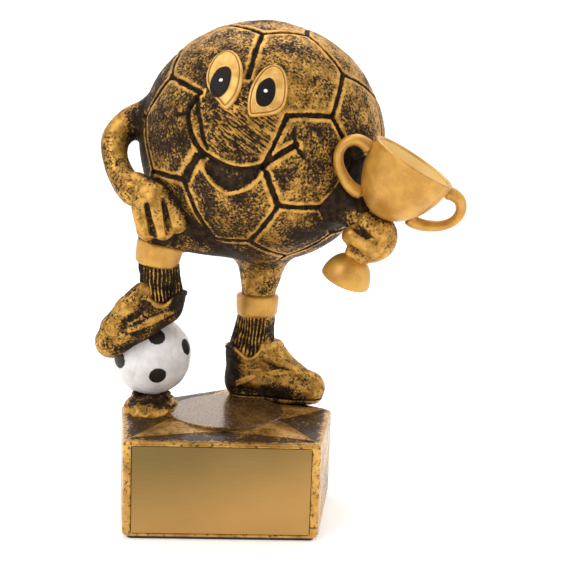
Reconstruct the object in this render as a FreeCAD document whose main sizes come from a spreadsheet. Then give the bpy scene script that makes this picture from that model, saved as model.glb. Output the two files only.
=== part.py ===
"""Figure trophy: a smiling football figure with a cup, one boot on a small ball, on a five-sided base.

Millimetres. The origin is the centre of the underside that the trophy rests on: +X to the right and
+Y to the back as the name plate is read, +Z up. Every piece is a cast, cut or bent part of its own,
and neighbours meet face to face.
"""
import FreeCAD, Part
import math
import os

import Sketcher

from FreeCAD import Placement, Rotation, Vector

os.makedirs("parts", exist_ok=True)

# Driving sizes, in mm and degrees.
SIZES = {
    "base_front_width": 55.0,
    "base_side_width": 68.8,
    "base_front_reach": 30.0,
    "base_side_reach": 5.7,
    "base_apex_reach": 30.0,
    "base_top": 28.5,
    "base_front_rounding": 1.5,
    "base_back_rounding": 3.5,
    "base_edge_rounding": 0.6,
    "base_inset": 0.0,
    "pad_thickness": 0.8,
    "pad_inset": 1.2,
    "plate_width": 50.0,
    "plate_height": 25.0,
    "plate_thickness": 0.5,
    "adhesive_thickness": 0.2,
    "adhesive_inset": 1.0,
    "recess_depth": 0.8,
    "disc_radius": 18.0,
    "disc_underside": 28.9,
    "disc_thickness": 0.8,
    "disc_rounding": 0.25,
    "star_tip_rise": 0.35,
    "star_notch_rise": 0.1,
    "star_peak_rise": 2.6,
    "star_front_tip_x": 25.6,
    "star_front_tip_y": -27.0,
    "star_side_tip_x": 31.8,
    "star_side_tip_y": 4.2,
    "star_back_tip_y": 27.4,
    "star_notch_radius": 17.2,
    "mound_foot_across": 9.2,
    "mound_foot_along": 12.0,
    "mound_top_across": 6.6,
    "mound_top_along": 7.2,
    "small_ball_radius": 12.6,
    "ball_radius_x": 38.1,
    "ball_radius_y": 35.0,
    "ball_radius_z": 36.8,
    "eye_half_width": 4.9,
    "eye_half_height": 9.0,
    "eye_half_thickness": 2.0,
    "eye_sink": 1.0,
    "eye_lean": 14.0,
    "thigh_radius": 5.4,
    "hip_radius": 8.8,
    "cuff_radius": 7.0,
    "cuff_rounding": 1.4,
    "sock_top_radius": 5.9,
    "sock_foot_radius": 6.6,
    "ankle_radius": 7.1,
    "heel_radius": 6.4,
    "instep_radius": 6.0,
    "boot_toe_radius": 5.2,
    "knee_radius": 7.2,
    "raised_hip_radius": 9.5,
    "raised_cuff_radius": 6.9,
    "arm_radius": 4.0,
    "wrist_radius": 4.2,
    "palm_radius": 5.6,
    "finger_radius": 2.4,
    "cup_arm_root_radius": 5.6,
    "cup_arm_wrist_radius": 4.4,
    "fist_radius": 5.6,
    "fist_finger_radius": 2.7,
    "fist_finger_reach": 4.4,
    "fist_finger_pitch": 4.1,
    "fist_finger_start": 22.0,
    "fist_aside": 2.0,
    "fist_finger_forward": 1.7,
    "fist_palm_back": 2.6,
    "cup_lean_right": 30.0,
    "cup_lean_forward": 17.5,
    "cup_radius": 12.3,
    "cup_depth": 17.5,
    "cup_wall": 1.1,
    "cup_stem_radius": 2.2,
    "cup_stem_length": 15.6,
    "cup_foot_radius": 7.2,
    "cup_foot_neck_radius": 3.0,
    "cup_foot_length": 7.4,
    "cup_foot_turn": 11.0,
    "cup_foot_sink": 0.45,
    "handle_loop_radius": 6.3,
    "handle_radius": 1.15,
    "handle_offset": 12.0,
    "handle_drop": 8.4,
    "leg_rod_radius": 1.6,
    "pin_radius": 1.1,
    "wire_radius": 0.9,
    "wire_extra_turn": 12.0,
}

# Named places, in mm.
PLACES = {
    "disc_middle": (0.0, -1.7, 28.9),
    "mound_foot": (-24.0, 3.4, 28.5),
    "mound_top": (-24.5, 4.0, 34.4),
    "small_ball_middle": (-24.6, 4.0, 45.6),
    "small_ball_pin_foot": (-24.6, 4.0, 18.0),
    "small_ball_pin_head": (-24.6, 4.0, 44.0),
    "ball_middle": (8.9, 6.0, 113.6),
    "left_eye_middle": (-2.0, -25.0, 127.4),
    "right_eye_middle": (9.4, -27.1, 124.9),
    "leg_rod_foot": (5.5, 19.5, 8.0),
    "leg_rod_head": (11.0, 13.0, 98.0),
    "standing_hip": (10.4, 13.8, 80.0),
    "standing_cuff_foot": (8.9, 15.0, 57.6),
    "standing_cuff_head": (8.9, 15.0, 64.8),
    "standing_ankle": (7.0, 16.4, 43.5),
    "standing_heel": (5.0, 18.4, 34.6),
    "standing_instep": (18.5, 15.2, 34.4),
    "standing_toe": (26.8, 13.0, 33.4),
    "raised_hip": (4.0, 3.0, 89.5),
    "knee": (-21.3, -4.4, 86.0),
    "raised_cuff_foot": (-22.4, -4.0, 75.6),
    "raised_cuff_head": (-21.5, -4.0, 81.3),
    "raised_ankle": (-21.6, -3.2, 68.0),
    "raised_heel": (-19.4, -2.8, 65.0),
    "raised_instep": (-28.0, -5.0, 59.4),
    "raised_toe": (-33.2, -6.4, 53.4),
    "raised_leg_pin_foot": (-21.0, -3.0, 63.0),
    "raised_leg_pin_head": (-21.5, -4.2, 86.0),
    "shoulder": (-25.0, 3.0, 121.5),
    "elbow": (-36.8, -2.4, 110.4),
    "wrist": (-28.4, -9.4, 98.6),
    "hip_palm": (-21.8, -11.4, 92.8),
    "hip_knuckle_outer": (-25.4, -12.4, 91.4),
    "hip_knuckle_middle": (-20.4, -13.8, 92.6),
    "hip_knuckle_inner": (-15.8, -12.8, 94.2),
    "hip_fingertip_outer": (-24.0, -13.0, 84.6),
    "hip_fingertip_middle": (-18.9, -14.0, 85.6),
    "hip_fingertip_inner": (-14.4, -12.8, 88.0),
    "cup_arm_root": (28.0, -9.0, 98.5),
    "cup_wrist": (35.6, -18.4, 90.2),
    "cup_wire_foot": (25.5, -6.0, 101.0),
    "cup_wire_head": (35.0, -18.0, 90.8),
    "cup_rim_middle": (49.9, -28.5, 107.8),
}

UP = Vector(0, 0, 1)
doc = FreeCAD.newDocument("figure_trophy")
dims = doc.addObject("Spreadsheet::Sheet", "dims")
nodes = []


def fill_sheet():
    """Write each driving size and each coordinate of each place to a named cell."""
    cells = dict(SIZES)
    for name, spot in PLACES.items():
        for axis, number in zip("xyz", spot):
            cells[f"{name}_{axis}"] = number
    for row, (alias, number) in enumerate(cells.items(), start=1):
        dims.set(f"A{row}", alias)
        dims.set(f"B{row}", str(number))
        dims.setAlias(f"B{row}", alias)
    doc.recompute()


def size(alias):
    return float(dims.get(alias))


def place(name):
    return Vector(size(f"{name}_x"), size(f"{name}_y"), size(f"{name}_z"))


def add(kind, name, **expressions):
    """Add an object whose properties are bound to the sheet."""
    thing = doc.addObject(kind, name)
    for prop, expression in expressions.items():
        thing.setExpression(prop, expression)
    return thing


def put(thing, place_name, direction=UP):
    """Put a thing's own origin at a named place, with its Z axis along a direction."""
    thing.Placement = Placement(place(place_name), Rotation(UP, direction))
    for axis in "xyz":
        thing.setExpression(f"Placement.Base.{axis}", f"dims.{place_name}_{axis}")
    return thing


def fuse(name, things):
    joined = add("Part::MultiFuse", name)
    joined.Shapes = things
    joined.Refine = True
    return joined


def carve(name, base, tools):
    """Cut each tool in turn from a copy of the base, which itself stays as it is."""
    for number, tool in enumerate(tools, start=1):
        cut = add("Part::Cut", f"{name}_cut_{number}")
        cut.Base = base
        cut.Tool = tool
        base = cut
    return base


def node(name, thing):
    """Name a finished piece; its Label is also its file's name."""
    thing.Label = name
    nodes.append(thing)
    return thing


def distance(start, end):
    """The sheet's formula for how far apart two places are."""
    terms = [f"(dims.{end}_{axis} - dims.{start}_{axis})^2" for axis in "xyz"]
    return "sqrt(" + " + ".join(terms) + ")"


def rod(name, start, end, radius):
    """A straight round rod between two places."""
    bar = add("Part::Cylinder", name, Radius=f"dims.{radius}", Height=distance(start, end))
    return put(bar, start, place(end) - place(start))


def limb(name, start, end, start_radius, end_radius):
    """A tapered round limb with a ball at each end."""
    taper = add("Part::Cone", f"{name}_taper", Radius1=f"dims.{start_radius}",
                Radius2=f"dims.{end_radius}", Height=distance(start, end))
    put(taper, start, place(end) - place(start))
    start_ball = put(add("Part::Sphere", f"{name}_start", Radius=f"dims.{start_radius}"), start)
    end_ball = put(add("Part::Sphere", f"{name}_end", Radius=f"dims.{end_radius}"), end)
    return fuse(name, [taper, start_ball, end_ball])


def drum(name, foot, head, radius):
    """A round band with rounded edges, between two places."""
    plain = rod(f"{name}_plain", foot, head, radius)
    doc.recompute()
    rims = [number for number, edge in enumerate(plain.Shape.Edges, start=1)
            if edge.Curve.TypeId == "Part::GeomCircle"]
    rounded = add("Part::Fillet", name)
    rounded.Base = plain
    rounded.Edges = [(number, size("cuff_rounding"), size("cuff_rounding")) for number in rims]
    return rounded


def five_sided_sketch(body, name, height, inset):
    """The base's plan, a squashed pentagon, drawn inset from the base's own outline."""
    sketch = body.newObject("Sketcher::SketchObject", name)
    plane = [item for item in body.Origin.OriginFeatures if item.Role == "XY_Plane"][0]
    sketch.AttachmentSupport = [(plane, "")]
    sketch.MapMode = "FlatFace"
    sketch.setExpression("AttachmentOffset.Base.z", height)
    margin = size(inset)
    inset = f"dims.{inset}"
    front = size("base_front_width") / 2 - margin
    side = size("base_side_width") / 2 - margin
    front_reach = size("base_front_reach") - margin
    side_reach = size("base_side_reach")
    apex_reach = size("base_apex_reach") - margin
    corners = [Vector(-front, -front_reach, 0), Vector(front, -front_reach, 0), Vector(side, side_reach, 0),
               Vector(0, apex_reach, 0), Vector(-side, side_reach, 0)]
    for number, corner in enumerate(corners):
        sketch.addGeometry(Part.LineSegment(corner, corners[(number + 1) % 5]))
    for number in range(5):
        sketch.addConstraint(Sketcher.Constraint("Coincident", number, 2, (number + 1) % 5, 1))
    origin = -1
    first = 1
    y_axis = -2
    sketch.addConstraint(Sketcher.Constraint("Symmetric", 0, 1, 0, 2, y_axis))
    sketch.addConstraint(Sketcher.Constraint("Symmetric", 1, 2, 4, 1, y_axis))
    sketch.addConstraint(Sketcher.Constraint("PointOnObject", 2, 2, y_axis))
    measures = [
        ("DistanceX", (0, 1, 0, 2), 2 * front, f"dims.base_front_width - 2 * {inset}"),
        ("DistanceX", (4, 1, 1, 2), 2 * side, f"dims.base_side_width - 2 * {inset}"),
        ("DistanceY", (0, 1, origin, first), front_reach, f"dims.base_front_reach - {inset}"),
        ("DistanceY", (origin, first, 1, 2), side_reach, "dims.base_side_reach"),
        ("DistanceY", (origin, first, 2, 2), apex_reach, f"dims.base_apex_reach - {inset}"),
    ]
    for kind, points, start_value, expression in measures:
        number = sketch.addConstraint(Sketcher.Constraint(kind, *points, start_value))
        sketch.setExpression(f"Constraints[{number}]", expression)
    return sketch


def five_sided_pad(name, height, thickness, inset="base_inset"):
    """A slab on the base's plan with its upright corners rounded."""
    body = doc.addObject("PartDesign::Body", name)
    sketch = five_sided_sketch(body, f"{name}_outline", height, inset)
    pad = body.newObject("PartDesign::Pad", f"{name}_pad")
    pad.Profile = sketch
    pad.setExpression("Length", thickness)
    doc.recompute()
    for label, is_front, rounding in (("front", True, "base_front_rounding"),
                                      ("back", False, "base_back_rounding")):
        below = body.Tip
        solid = below.Shape
        upright = [f"Edge{number}" for number, edge in enumerate(solid.Edges, start=1)
                   if edge.BoundBox.ZLength > 0.9 * solid.BoundBox.ZLength
                   and edge.BoundBox.DiagonalLength < solid.BoundBox.ZLength * 1.01
                   and (edge.BoundBox.YMin < -20) == is_front
                   and (is_front or edge.BoundBox.YMin > 0)]
        corner = body.newObject("PartDesign::Fillet", f"{name}_{label}_corners")
        corner.Base = (below, upright)
        corner.setExpression("Radius", f"dims.{rounding}")
        body.Tip = corner
        doc.recompute()
    return body


def build_base(inner_steel):
    """The five-sided base with a recess for the name plate, and the felt under it. Returns the base."""
    body = five_sided_pad("base_casting", "dims.pad_thickness", "dims.base_top - dims.pad_thickness")
    below = body.Tip
    top_rim = [f"Edge{number}" for number, edge in enumerate(below.Shape.Edges, start=1)
               if edge.BoundBox.ZMin > size("base_top") - 0.01]
    edge_round = body.newObject("PartDesign::Fillet", "base_top_edge")
    edge_round.Base = (below, top_rim)
    edge_round.setExpression("Radius", "dims.base_edge_rounding")
    body.Tip = edge_round
    doc.recompute()

    recess = add("Part::Box", "plate_recess", Length="dims.plate_width", Width="dims.recess_depth",
                 Height="dims.plate_height")
    recess.setExpression("Placement.Base.x", "-dims.plate_width / 2")
    recess.setExpression("Placement.Base.y", "-dims.base_front_reach")
    recess.setExpression("Placement.Base.z", "(dims.base_top + dims.pad_thickness - dims.plate_height) / 2")
    base = node("base_block", carve("base_block", body, [recess] + inner_steel))

    pad = five_sided_pad("pad_casting", "0", "dims.pad_thickness", "pad_inset")
    node("felt_pad", pad)
    return base


def build_name_plate():
    """The blank plate lies on a thin sheet of adhesive in the base's front recess."""
    plate = add("Part::Box", "name_plate", Length="dims.plate_width", Width="dims.plate_thickness",
                Height="dims.plate_height")
    front = "-dims.base_front_reach + dims.recess_depth - dims.adhesive_thickness"
    plate.setExpression("Placement.Base.x", "-dims.plate_width / 2")
    plate.setExpression("Placement.Base.y", f"{front} - dims.plate_thickness")
    plate.setExpression("Placement.Base.z", "(dims.base_top + dims.pad_thickness - dims.plate_height) / 2")
    node("name_plate", plate)

    tape = add("Part::Box", "plate_adhesive", Length="dims.plate_width - 2 * dims.adhesive_inset",
               Width="dims.adhesive_thickness", Height="dims.plate_height - 2 * dims.adhesive_inset")
    tape.setExpression("Placement.Base.x", "-dims.plate_width / 2 + dims.adhesive_inset")
    tape.setExpression("Placement.Base.y", front)
    tape.setExpression("Placement.Base.z", "(dims.base_top + dims.pad_thickness - dims.plate_height) / 2"
                       " + dims.adhesive_inset")
    node("plate_adhesive", tape)


def build_disc():
    plain = add("Part::Cylinder", "disc_plain", Radius="dims.disc_radius", Height="dims.disc_thickness")
    put(plain, "disc_middle")
    doc.recompute()
    top = size("disc_underside") + size("disc_thickness")
    rims = [number for number, edge in enumerate(plain.Shape.Edges, start=1)
            if edge.BoundBox.ZMin > top - 0.01]
    disc = add("Part::Fillet", "centre_disc")
    disc.Base = plain
    disc.Edges = [(number, size("disc_rounding"), size("disc_rounding")) for number in rims]
    return node("centre_disc", disc)


def build_star(disc, inner_steel):
    """A low five-pointed star: each point has a ridge down its middle and a facet on each side."""
    middle = place("disc_middle")
    floor = size("base_top")
    front_x = size("star_front_tip_x")
    front_y = size("star_front_tip_y")
    side_x = size("star_side_tip_x")
    side_y = size("star_side_tip_y")
    tips = [Vector(-front_x, front_y, 0), Vector(front_x, front_y, 0), Vector(side_x, side_y, 0),
            Vector(0, size("star_back_tip_y"), 0), Vector(-side_x, side_y, 0)]
    outline = []
    for number, tip in enumerate(tips):
        following = tips[(number + 1) % 5]
        centre = Vector(middle.x, middle.y, 0)
        bisector = (tip - centre).normalize() + (following - centre).normalize()
        notch = centre + bisector.normalize() * size("star_notch_radius")
        outline += [(tip, size("star_tip_rise")), (notch, size("star_notch_rise"))]
    peak = Vector(middle.x, middle.y, floor + size("star_peak_rise"))
    low = [Vector(point.x, point.y, floor) for point, rise in outline]
    high = [Vector(point.x, point.y, floor + rise) for point, rise in outline]
    faces = [Part.Face(Part.makePolygon(low + [low[0]]))]
    for number in range(len(outline)):
        after = (number + 1) % len(outline)
        faces.append(Part.Face(Part.makePolygon([low[number], low[after], high[after], high[number],
                                                 low[number]])))
        faces.append(Part.Face(Part.makePolygon([high[number], high[after], peak, high[number]])))
    star = add("Part::Feature", "star_facets")
    star.Shape = Part.makeSolid(Part.makeShell(faces))
    star.Placement = Placement()
    seat = add("Part::Cylinder", "disc_seat", Radius="dims.disc_radius", Height="dims.star_peak_rise")
    put(seat, "disc_middle")
    return node("star_relief", carve("star_relief", star, [seat] + inner_steel))


def build_small_ball(pin, under):
    """The ball under the raised boot, pinned to a turf mound."""
    ball = put(add("Part::Sphere", "small_ball_round", Radius="dims.small_ball_radius"), "small_ball_middle")
    rings = []
    for level in ("foot", "top"):
        ring = add("Part::Ellipse", f"mound_{level}_ring", MajorRadius=f"dims.mound_{level}_along",
                   MinorRadius=f"dims.mound_{level}_across")
        put(ring, f"mound_{level}")
        ring.Placement = Placement(place(f"mound_{level}"), Rotation(UP, 90))
        rings.append(ring)
    mound = add("Part::Loft", "mound_loft")
    mound.Sections = rings
    mound.Solid = True
    node("turf_mound", carve("turf_mound", mound, [ball, pin] + under))
    node("small_ball", carve("small_ball", ball, [pin]))
    return ball


def build_boot(side, ankle, heel, instep, toe, tools):
    """A boot: heel to toe along the ground, and an ankle that slopes down to the instep."""
    parts = [
        limb(f"{side}_sole", heel, toe, "heel_radius", "boot_toe_radius"),
        limb(f"{side}_upper", ankle, instep, "ankle_radius", "instep_radius"),
        limb(f"{side}_counter", ankle, heel, "ankle_radius", "heel_radius"),
    ]
    raw = fuse(f"{side}_boot_raw", parts)
    return node(f"{side}_boot", carve(f"{side}_boot", raw, tools))


def build_standing_leg(ball, steel, ground):
    cuff = drum("standing_cuff", "standing_cuff_foot", "standing_cuff_head", "cuff_radius")
    node("standing_sock_cuff", carve("standing_sock_cuff", cuff, steel))

    thigh = add("Part::Cone", "standing_thigh_raw", Radius1="dims.thigh_radius", Radius2="dims.hip_radius",
                Height=distance("standing_cuff_head", "standing_hip"))
    put(thigh, "standing_cuff_head", place("standing_hip") - place("standing_cuff_head"))
    node("standing_thigh", carve("standing_thigh", thigh, [cuff, ball] + steel))

    sock = add("Part::Cone", "standing_sock_raw", Radius1="dims.sock_top_radius",
               Radius2="dims.sock_foot_radius", Height=distance("standing_cuff_foot", "standing_ankle"))
    put(sock, "standing_cuff_foot", place("standing_ankle") - place("standing_cuff_foot"))
    node("standing_sock", carve("standing_sock", sock, [cuff] + steel))

    build_boot("standing", "standing_ankle", "standing_heel", "standing_instep", "standing_toe",
               [sock] + ground + steel)


def build_raised_leg(ball, small_ball, steel):
    """Returns the thigh's full shape, which the hand on the knee is cut to fit."""
    cuff = drum("raised_cuff", "raised_cuff_foot", "raised_cuff_head", "raised_cuff_radius")
    node("raised_sock_cuff", carve("raised_sock_cuff", cuff, steel))

    upper = limb("raised_upper_thigh", "knee", "raised_hip", "knee_radius", "raised_hip_radius")
    lower = add("Part::Cone", "raised_lower_thigh", Radius1="dims.thigh_radius",
                Radius2="dims.knee_radius", Height=distance("raised_cuff_head", "knee"))
    put(lower, "raised_cuff_head", place("knee") - place("raised_cuff_head"))
    thigh = fuse("raised_thigh_raw", [upper, lower])
    node("raised_thigh", carve("raised_thigh", thigh, [cuff, ball] + steel))

    sock = add("Part::Cone", "raised_sock_raw", Radius1="dims.sock_top_radius",
               Radius2="dims.sock_foot_radius", Height=distance("raised_cuff_foot", "raised_ankle"))
    put(sock, "raised_cuff_foot", place("raised_ankle") - place("raised_cuff_foot"))
    node("raised_sock", carve("raised_sock", sock, [cuff] + steel))

    build_boot("raised", "raised_ankle", "raised_heel", "raised_instep", "raised_toe",
               [sock, cuff, small_ball] + steel)
    return thigh


def bent_rod(name, radius, extra_turn=0.0):
    """A round rod bent on the one circle through the shoulder, the elbow and the wrist."""
    bend = Part.Arc(place("shoulder"), place("elbow"), place("wrist")).toShape()
    circle = bend.Curve
    first = (place("shoulder") - circle.Center).normalize()
    turn = math.degrees(bend.LastParameter - bend.FirstParameter)
    rod_shape = add("Part::Torus", name, Radius2=f"dims.{radius}")
    rod_shape.Radius1 = circle.Radius
    rod_shape.Angle1 = -180
    rod_shape.Angle2 = 180
    rod_shape.Angle3 = turn + extra_turn
    frame = Rotation(first, circle.Axis.cross(first), circle.Axis, "ZXY")
    rod_shape.Placement = Placement(circle.Center, frame)
    return rod_shape


def build_hip_arm(ball, thigh, wire):
    """The bent arm and the three-fingered hand that rests on the knee."""
    arm = bent_rod("hip_arm_raw", "arm_radius")
    node("hip_arm", carve("hip_arm", arm, [ball, wire]))
    parts = [limb("hip_palm_raw", "wrist", "hip_palm", "wrist_radius", "palm_radius")]
    for finger in ("outer", "middle", "inner"):
        tip = f"hip_fingertip_{finger}"
        knuckle = f"hip_knuckle_{finger}"
        length = rod(f"hip_finger_{finger}", knuckle, tip, "finger_radius")
        parts += [length]
        for end in (knuckle, tip):
            parts.append(put(add("Part::Sphere", f"{end}_round", Radius="dims.finger_radius"), end))
    hand = fuse("hip_hand_raw", parts)
    node("hip_hand", carve("hip_hand", hand, [arm, wire, thigh, ball]))


def cup_frame():
    """The cup's own frame: its origin in the middle of the rim, +Z out of the mouth."""
    sideways = math.radians(size("cup_lean_right"))
    forward = math.radians(size("cup_lean_forward"))
    axis = Vector(math.sin(sideways) * math.cos(forward), -math.sin(forward),
                  math.cos(sideways) * math.cos(forward))
    across = Vector(math.cos(sideways), 0, -math.sin(sideways))
    return Placement(place("cup_rim_middle"), Rotation(across, axis.cross(across), axis, "ZXY"))


def in_cup(thing, x=0.0, y=0.0, z=0.0, rotation=None):
    """Place a thing by its position in the cup's own frame."""
    thing.Placement = cup_frame() * Placement(Vector(x, y, z), rotation or Rotation())
    return thing


def build_cup():
    """A two-handled cup: bowl, handles, stem and foot. Returns the full bowl, the stem and the foot."""
    hollow = add("Part::Ellipsoid", "bowl_hollow", Radius1="dims.cup_depth - dims.cup_wall",
                 Radius2="dims.cup_radius - dims.cup_wall", Radius3="dims.cup_radius - dims.cup_wall")
    full = add("Part::Ellipsoid", "bowl_full", Radius1="dims.cup_depth", Radius2="dims.cup_radius",
               Radius3="dims.cup_radius")
    for half in (hollow, full):
        half.Angle1 = -90
        half.Angle2 = 0
        in_cup(half)
    node("cup_bowl", carve("cup_bowl", full, [hollow]))

    for side, sign in (("left", -1), ("right", 1)):
        loop = add("Part::Torus", f"{side}_loop", Radius1="dims.handle_loop_radius",
                   Radius2="dims.handle_radius")
        loop.Angle1 = -180
        loop.Angle2 = 180
        in_cup(loop, sign * size("handle_offset"), 0, -size("handle_drop"), Rotation(Vector(1, 0, 0), 90))
        node(f"cup_handle_{side}", carve(f"cup_handle_{side}", loop, [full]))

    stem = add("Part::Cylinder", "stem_raw", Radius="dims.cup_stem_radius",
               Height="dims.cup_stem_length")
    stem_foot = -size("cup_depth") - size("cup_stem_length") + size("cup_wall")
    in_cup(stem, z=stem_foot)

    # The foot stands more upright than the stem, and is sunk a little over the stem's end.
    foot = add("Part::Cone", "cup_foot", Radius1="dims.cup_foot_radius",
               Radius2="dims.cup_foot_neck_radius", Height="dims.cup_foot_length")
    turn = Rotation(Vector(0, 1, 0), -size("cup_foot_turn"))
    reach = turn.multVec(Vector(0, 0, -size("cup_foot_length")))
    in_cup(foot, reach.x, 0, stem_foot + size("cup_foot_sink") + reach.z, turn)
    node("cup_stem", carve("cup_stem", stem, [full, foot]))
    node("cup_foot", foot)
    return full, stem, foot


def build_cup_arm(ball, wire, cup_parts):
    """The short arm on the cup's side, and the fist that holds the stem."""
    arm = limb("cup_arm_raw", "cup_arm_root", "cup_wrist", "cup_arm_root_radius", "cup_arm_wrist_radius")
    fingers = []
    grip = Rotation(Vector(0, 1, 0), 90)
    reach = size("fist_finger_reach")
    forward = -size("fist_finger_forward")
    aside = size("fist_aside")
    for number in range(3):
        level = -size("fist_finger_start") - number * size("fist_finger_pitch")
        finger = add("Part::Cylinder", f"fist_finger_{number + 1}", Radius="dims.fist_finger_radius",
                     Height="2 * dims.fist_finger_reach")
        fingers.append(in_cup(finger, aside - reach, forward, level, grip))
        for end, sign in (("left", -1), ("right", 1)):
            knuckle = add("Part::Sphere", f"fist_{end}_knuckle_{number + 1}",
                          Radius="dims.fist_finger_radius")
            fingers.append(in_cup(knuckle, aside + sign * reach, forward, level))
    palm = add("Part::Sphere", "fist_palm", Radius="dims.fist_radius")
    in_cup(palm, aside, size("fist_palm_back"), -size("fist_finger_start") - size("fist_finger_pitch"))
    hand = fuse("cup_hand_raw", fingers + [palm])
    node("cup_hand", carve("cup_hand", hand, cup_parts + [wire, ball]))
    node("cup_arm", carve("cup_arm", arm, [ball, hand, wire] + cup_parts))


def build_eye(side, ball):
    """A raised oval, bedded in the big ball's surface and facing straight out of it."""
    middle = place(f"{side}_eye_middle")
    away = middle - place("ball_middle")
    outward = Vector(away.x / size("ball_radius_x") ** 2, away.y / size("ball_radius_y") ** 2,
                     away.z / size("ball_radius_z") ** 2).normalize()
    lean = Rotation(outward, -size("eye_lean"))
    tall = lean.multVec((UP - outward * UP.dot(outward)).normalize())
    eye = add("Part::Ellipsoid", f"{side}_eye_raw", Radius1="dims.eye_half_thickness",
              Radius2="dims.eye_half_width", Radius3="dims.eye_half_height")
    eye.Angle1 = -90
    eye.Angle2 = 90
    eye.Placement = Placement(middle - outward * size("eye_sink"),
                              Rotation(tall.cross(outward), tall, outward, "ZYX"))
    node(f"{side}_eye", carve(f"{side}_eye", eye, [ball]))


def build_all():
    leg_rod = node("leg_rod", rod("leg_rod", "leg_rod_foot", "leg_rod_head", "leg_rod_radius"))
    ball_pin = node("small_ball_pin", rod("small_ball_pin", "small_ball_pin_foot", "small_ball_pin_head",
                                          "pin_radius"))
    raised_pin = node("raised_leg_pin", rod("raised_leg_pin", "raised_leg_pin_foot", "raised_leg_pin_head",
                                            "pin_radius"))
    hip_wire = node("hip_arm_wire", bent_rod("hip_arm_wire", "wire_radius", size("wire_extra_turn")))
    cup_wire = node("cup_arm_wire", rod("cup_arm_wire", "cup_wire_foot", "cup_wire_head", "wire_radius"))

    ball = add("Part::Ellipsoid", "ball_round", Radius1="dims.ball_radius_z", Radius2="dims.ball_radius_x",
               Radius3="dims.ball_radius_y")
    ball.Angle1 = -90
    ball.Angle2 = 90
    put(ball, "ball_middle")
    node("ball_body", carve("ball_body", ball, [leg_rod, hip_wire, cup_wire]))
    build_eye("left", ball)
    build_eye("right", ball)

    base = build_base([leg_rod, ball_pin])
    build_name_plate()
    disc = build_disc()
    star = build_star(disc, [leg_rod, ball_pin])
    small_ball = build_small_ball(ball_pin, [disc, star])
    build_standing_leg(ball, [leg_rod], [base, star, disc])
    thigh = build_raised_leg(ball, small_ball, [raised_pin])
    build_hip_arm(ball, thigh, hip_wire)
    bowl, stem, foot = build_cup()
    build_cup_arm(ball, cup_wire, [bowl, stem, foot])


def check_and_write():
    """Stop if any object failed or any piece isn't a whole solid, then write one file for each piece."""
    doc.recompute()
    for thing in doc.Objects:
        if "Invalid" in thing.State or "Error" in thing.State:
            raise RuntimeError(f"{thing.Name} failed: {thing.State}")
    for piece in nodes:
        shape = piece.Shape
        if shape.isNull() or not shape.isValid() or not shape.Solids:
            raise RuntimeError(f"{piece.Label} has no valid solid")
    for piece in nodes:
        piece.Shape.exportStep(os.path.join("parts", f"{piece.Label}.step"))
        volume = piece.Shape.Volume / 1000
        print(f"{piece.Label:20s} solids {len(piece.Shape.Solids)} volume {volume:8.3f} cm3")


fill_sheet()
build_all()
check_and_write()
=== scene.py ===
from itertools import combinations

import bpy
import numpy as np
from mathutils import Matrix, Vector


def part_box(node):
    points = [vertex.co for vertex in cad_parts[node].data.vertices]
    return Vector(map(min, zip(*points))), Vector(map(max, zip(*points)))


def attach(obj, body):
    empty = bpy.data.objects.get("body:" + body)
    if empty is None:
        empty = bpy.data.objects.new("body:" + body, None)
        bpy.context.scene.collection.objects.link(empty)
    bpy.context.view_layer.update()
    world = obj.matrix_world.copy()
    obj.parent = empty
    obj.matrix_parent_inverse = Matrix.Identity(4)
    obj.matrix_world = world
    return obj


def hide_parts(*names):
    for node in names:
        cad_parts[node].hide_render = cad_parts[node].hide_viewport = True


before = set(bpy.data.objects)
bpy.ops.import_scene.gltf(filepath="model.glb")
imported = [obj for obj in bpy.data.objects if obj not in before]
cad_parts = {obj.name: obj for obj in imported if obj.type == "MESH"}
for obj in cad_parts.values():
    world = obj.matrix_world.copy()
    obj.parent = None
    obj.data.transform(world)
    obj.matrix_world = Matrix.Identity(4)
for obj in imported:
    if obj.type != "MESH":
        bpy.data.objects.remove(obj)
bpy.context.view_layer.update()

import openvdb
from mathutils import Matrix, Vector

MM = 0.001
BALL_RIM = 36.6          # mm for one radian on the big ball
SHADE_AND_WASH_REACH = 1.8         # mm over which dark wash and painted shade fade away from a joint between pieces
FAR = 99                 # mm, a distance field's value before anything is added to it


# ---------------------------------------------------------------- places

def middle(node):
    """The middle of a CAD node's box, in mm."""
    low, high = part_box(node)
    return (np.array(low) + np.array(high)) / 2 / MM


def half(node):
    """Half the sides of a CAD node's box, in mm."""
    low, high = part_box(node)
    return (np.array(high) - np.array(low)) / 2 / MM


def near(node, x, y, z):
    """A place given by its offset in mm from the middle of a CAD node's box."""
    return middle(node) + np.array((x, y, z), float)


def places(node, *offsets):
    """The places at several offsets from the middle of a CAD node's box."""
    return [near(node, *offset) for offset in offsets]


def unit(vector):
    vector = np.asarray(vector, float)
    return vector / np.linalg.norm(vector)


def unit_rows(rows):
    return rows / np.linalg.norm(rows, axis=1)[:, None]


def smooth_step(value, low, high):
    """0 below low, 1 above high, and an even curve between them."""
    share = np.clip((value - low) / (high - low), 0, 1)
    return share * share * (3 - 2 * share)


def ridge(gap, middle_gap, width):
    """1 where a gap is middle_gap, fading to 0 on both sides of it within about twice the width."""
    return np.exp(-((gap - middle_gap) / width) ** 2)


def spline(points, steps=8):
    """Points on a smooth curve through the given ones."""
    points = np.array(points, float)
    ends = np.vstack([2 * points[0] - points[1], points, 2 * points[-1] - points[-2]])
    share = np.linspace(0, 1, steps, endpoint=False)[:, None]
    runs = []
    for a, b, c, d in zip(ends, ends[1:], ends[2:], ends[3:]):
        runs.append(0.5 * (2 * b + (c - a) * share + (2 * a - 5 * b + 4 * c - d) * share ** 2
                           + (3 * b - a - 3 * c + d) * share ** 3))
    return np.vstack(runs + [points[-1:]])


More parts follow.
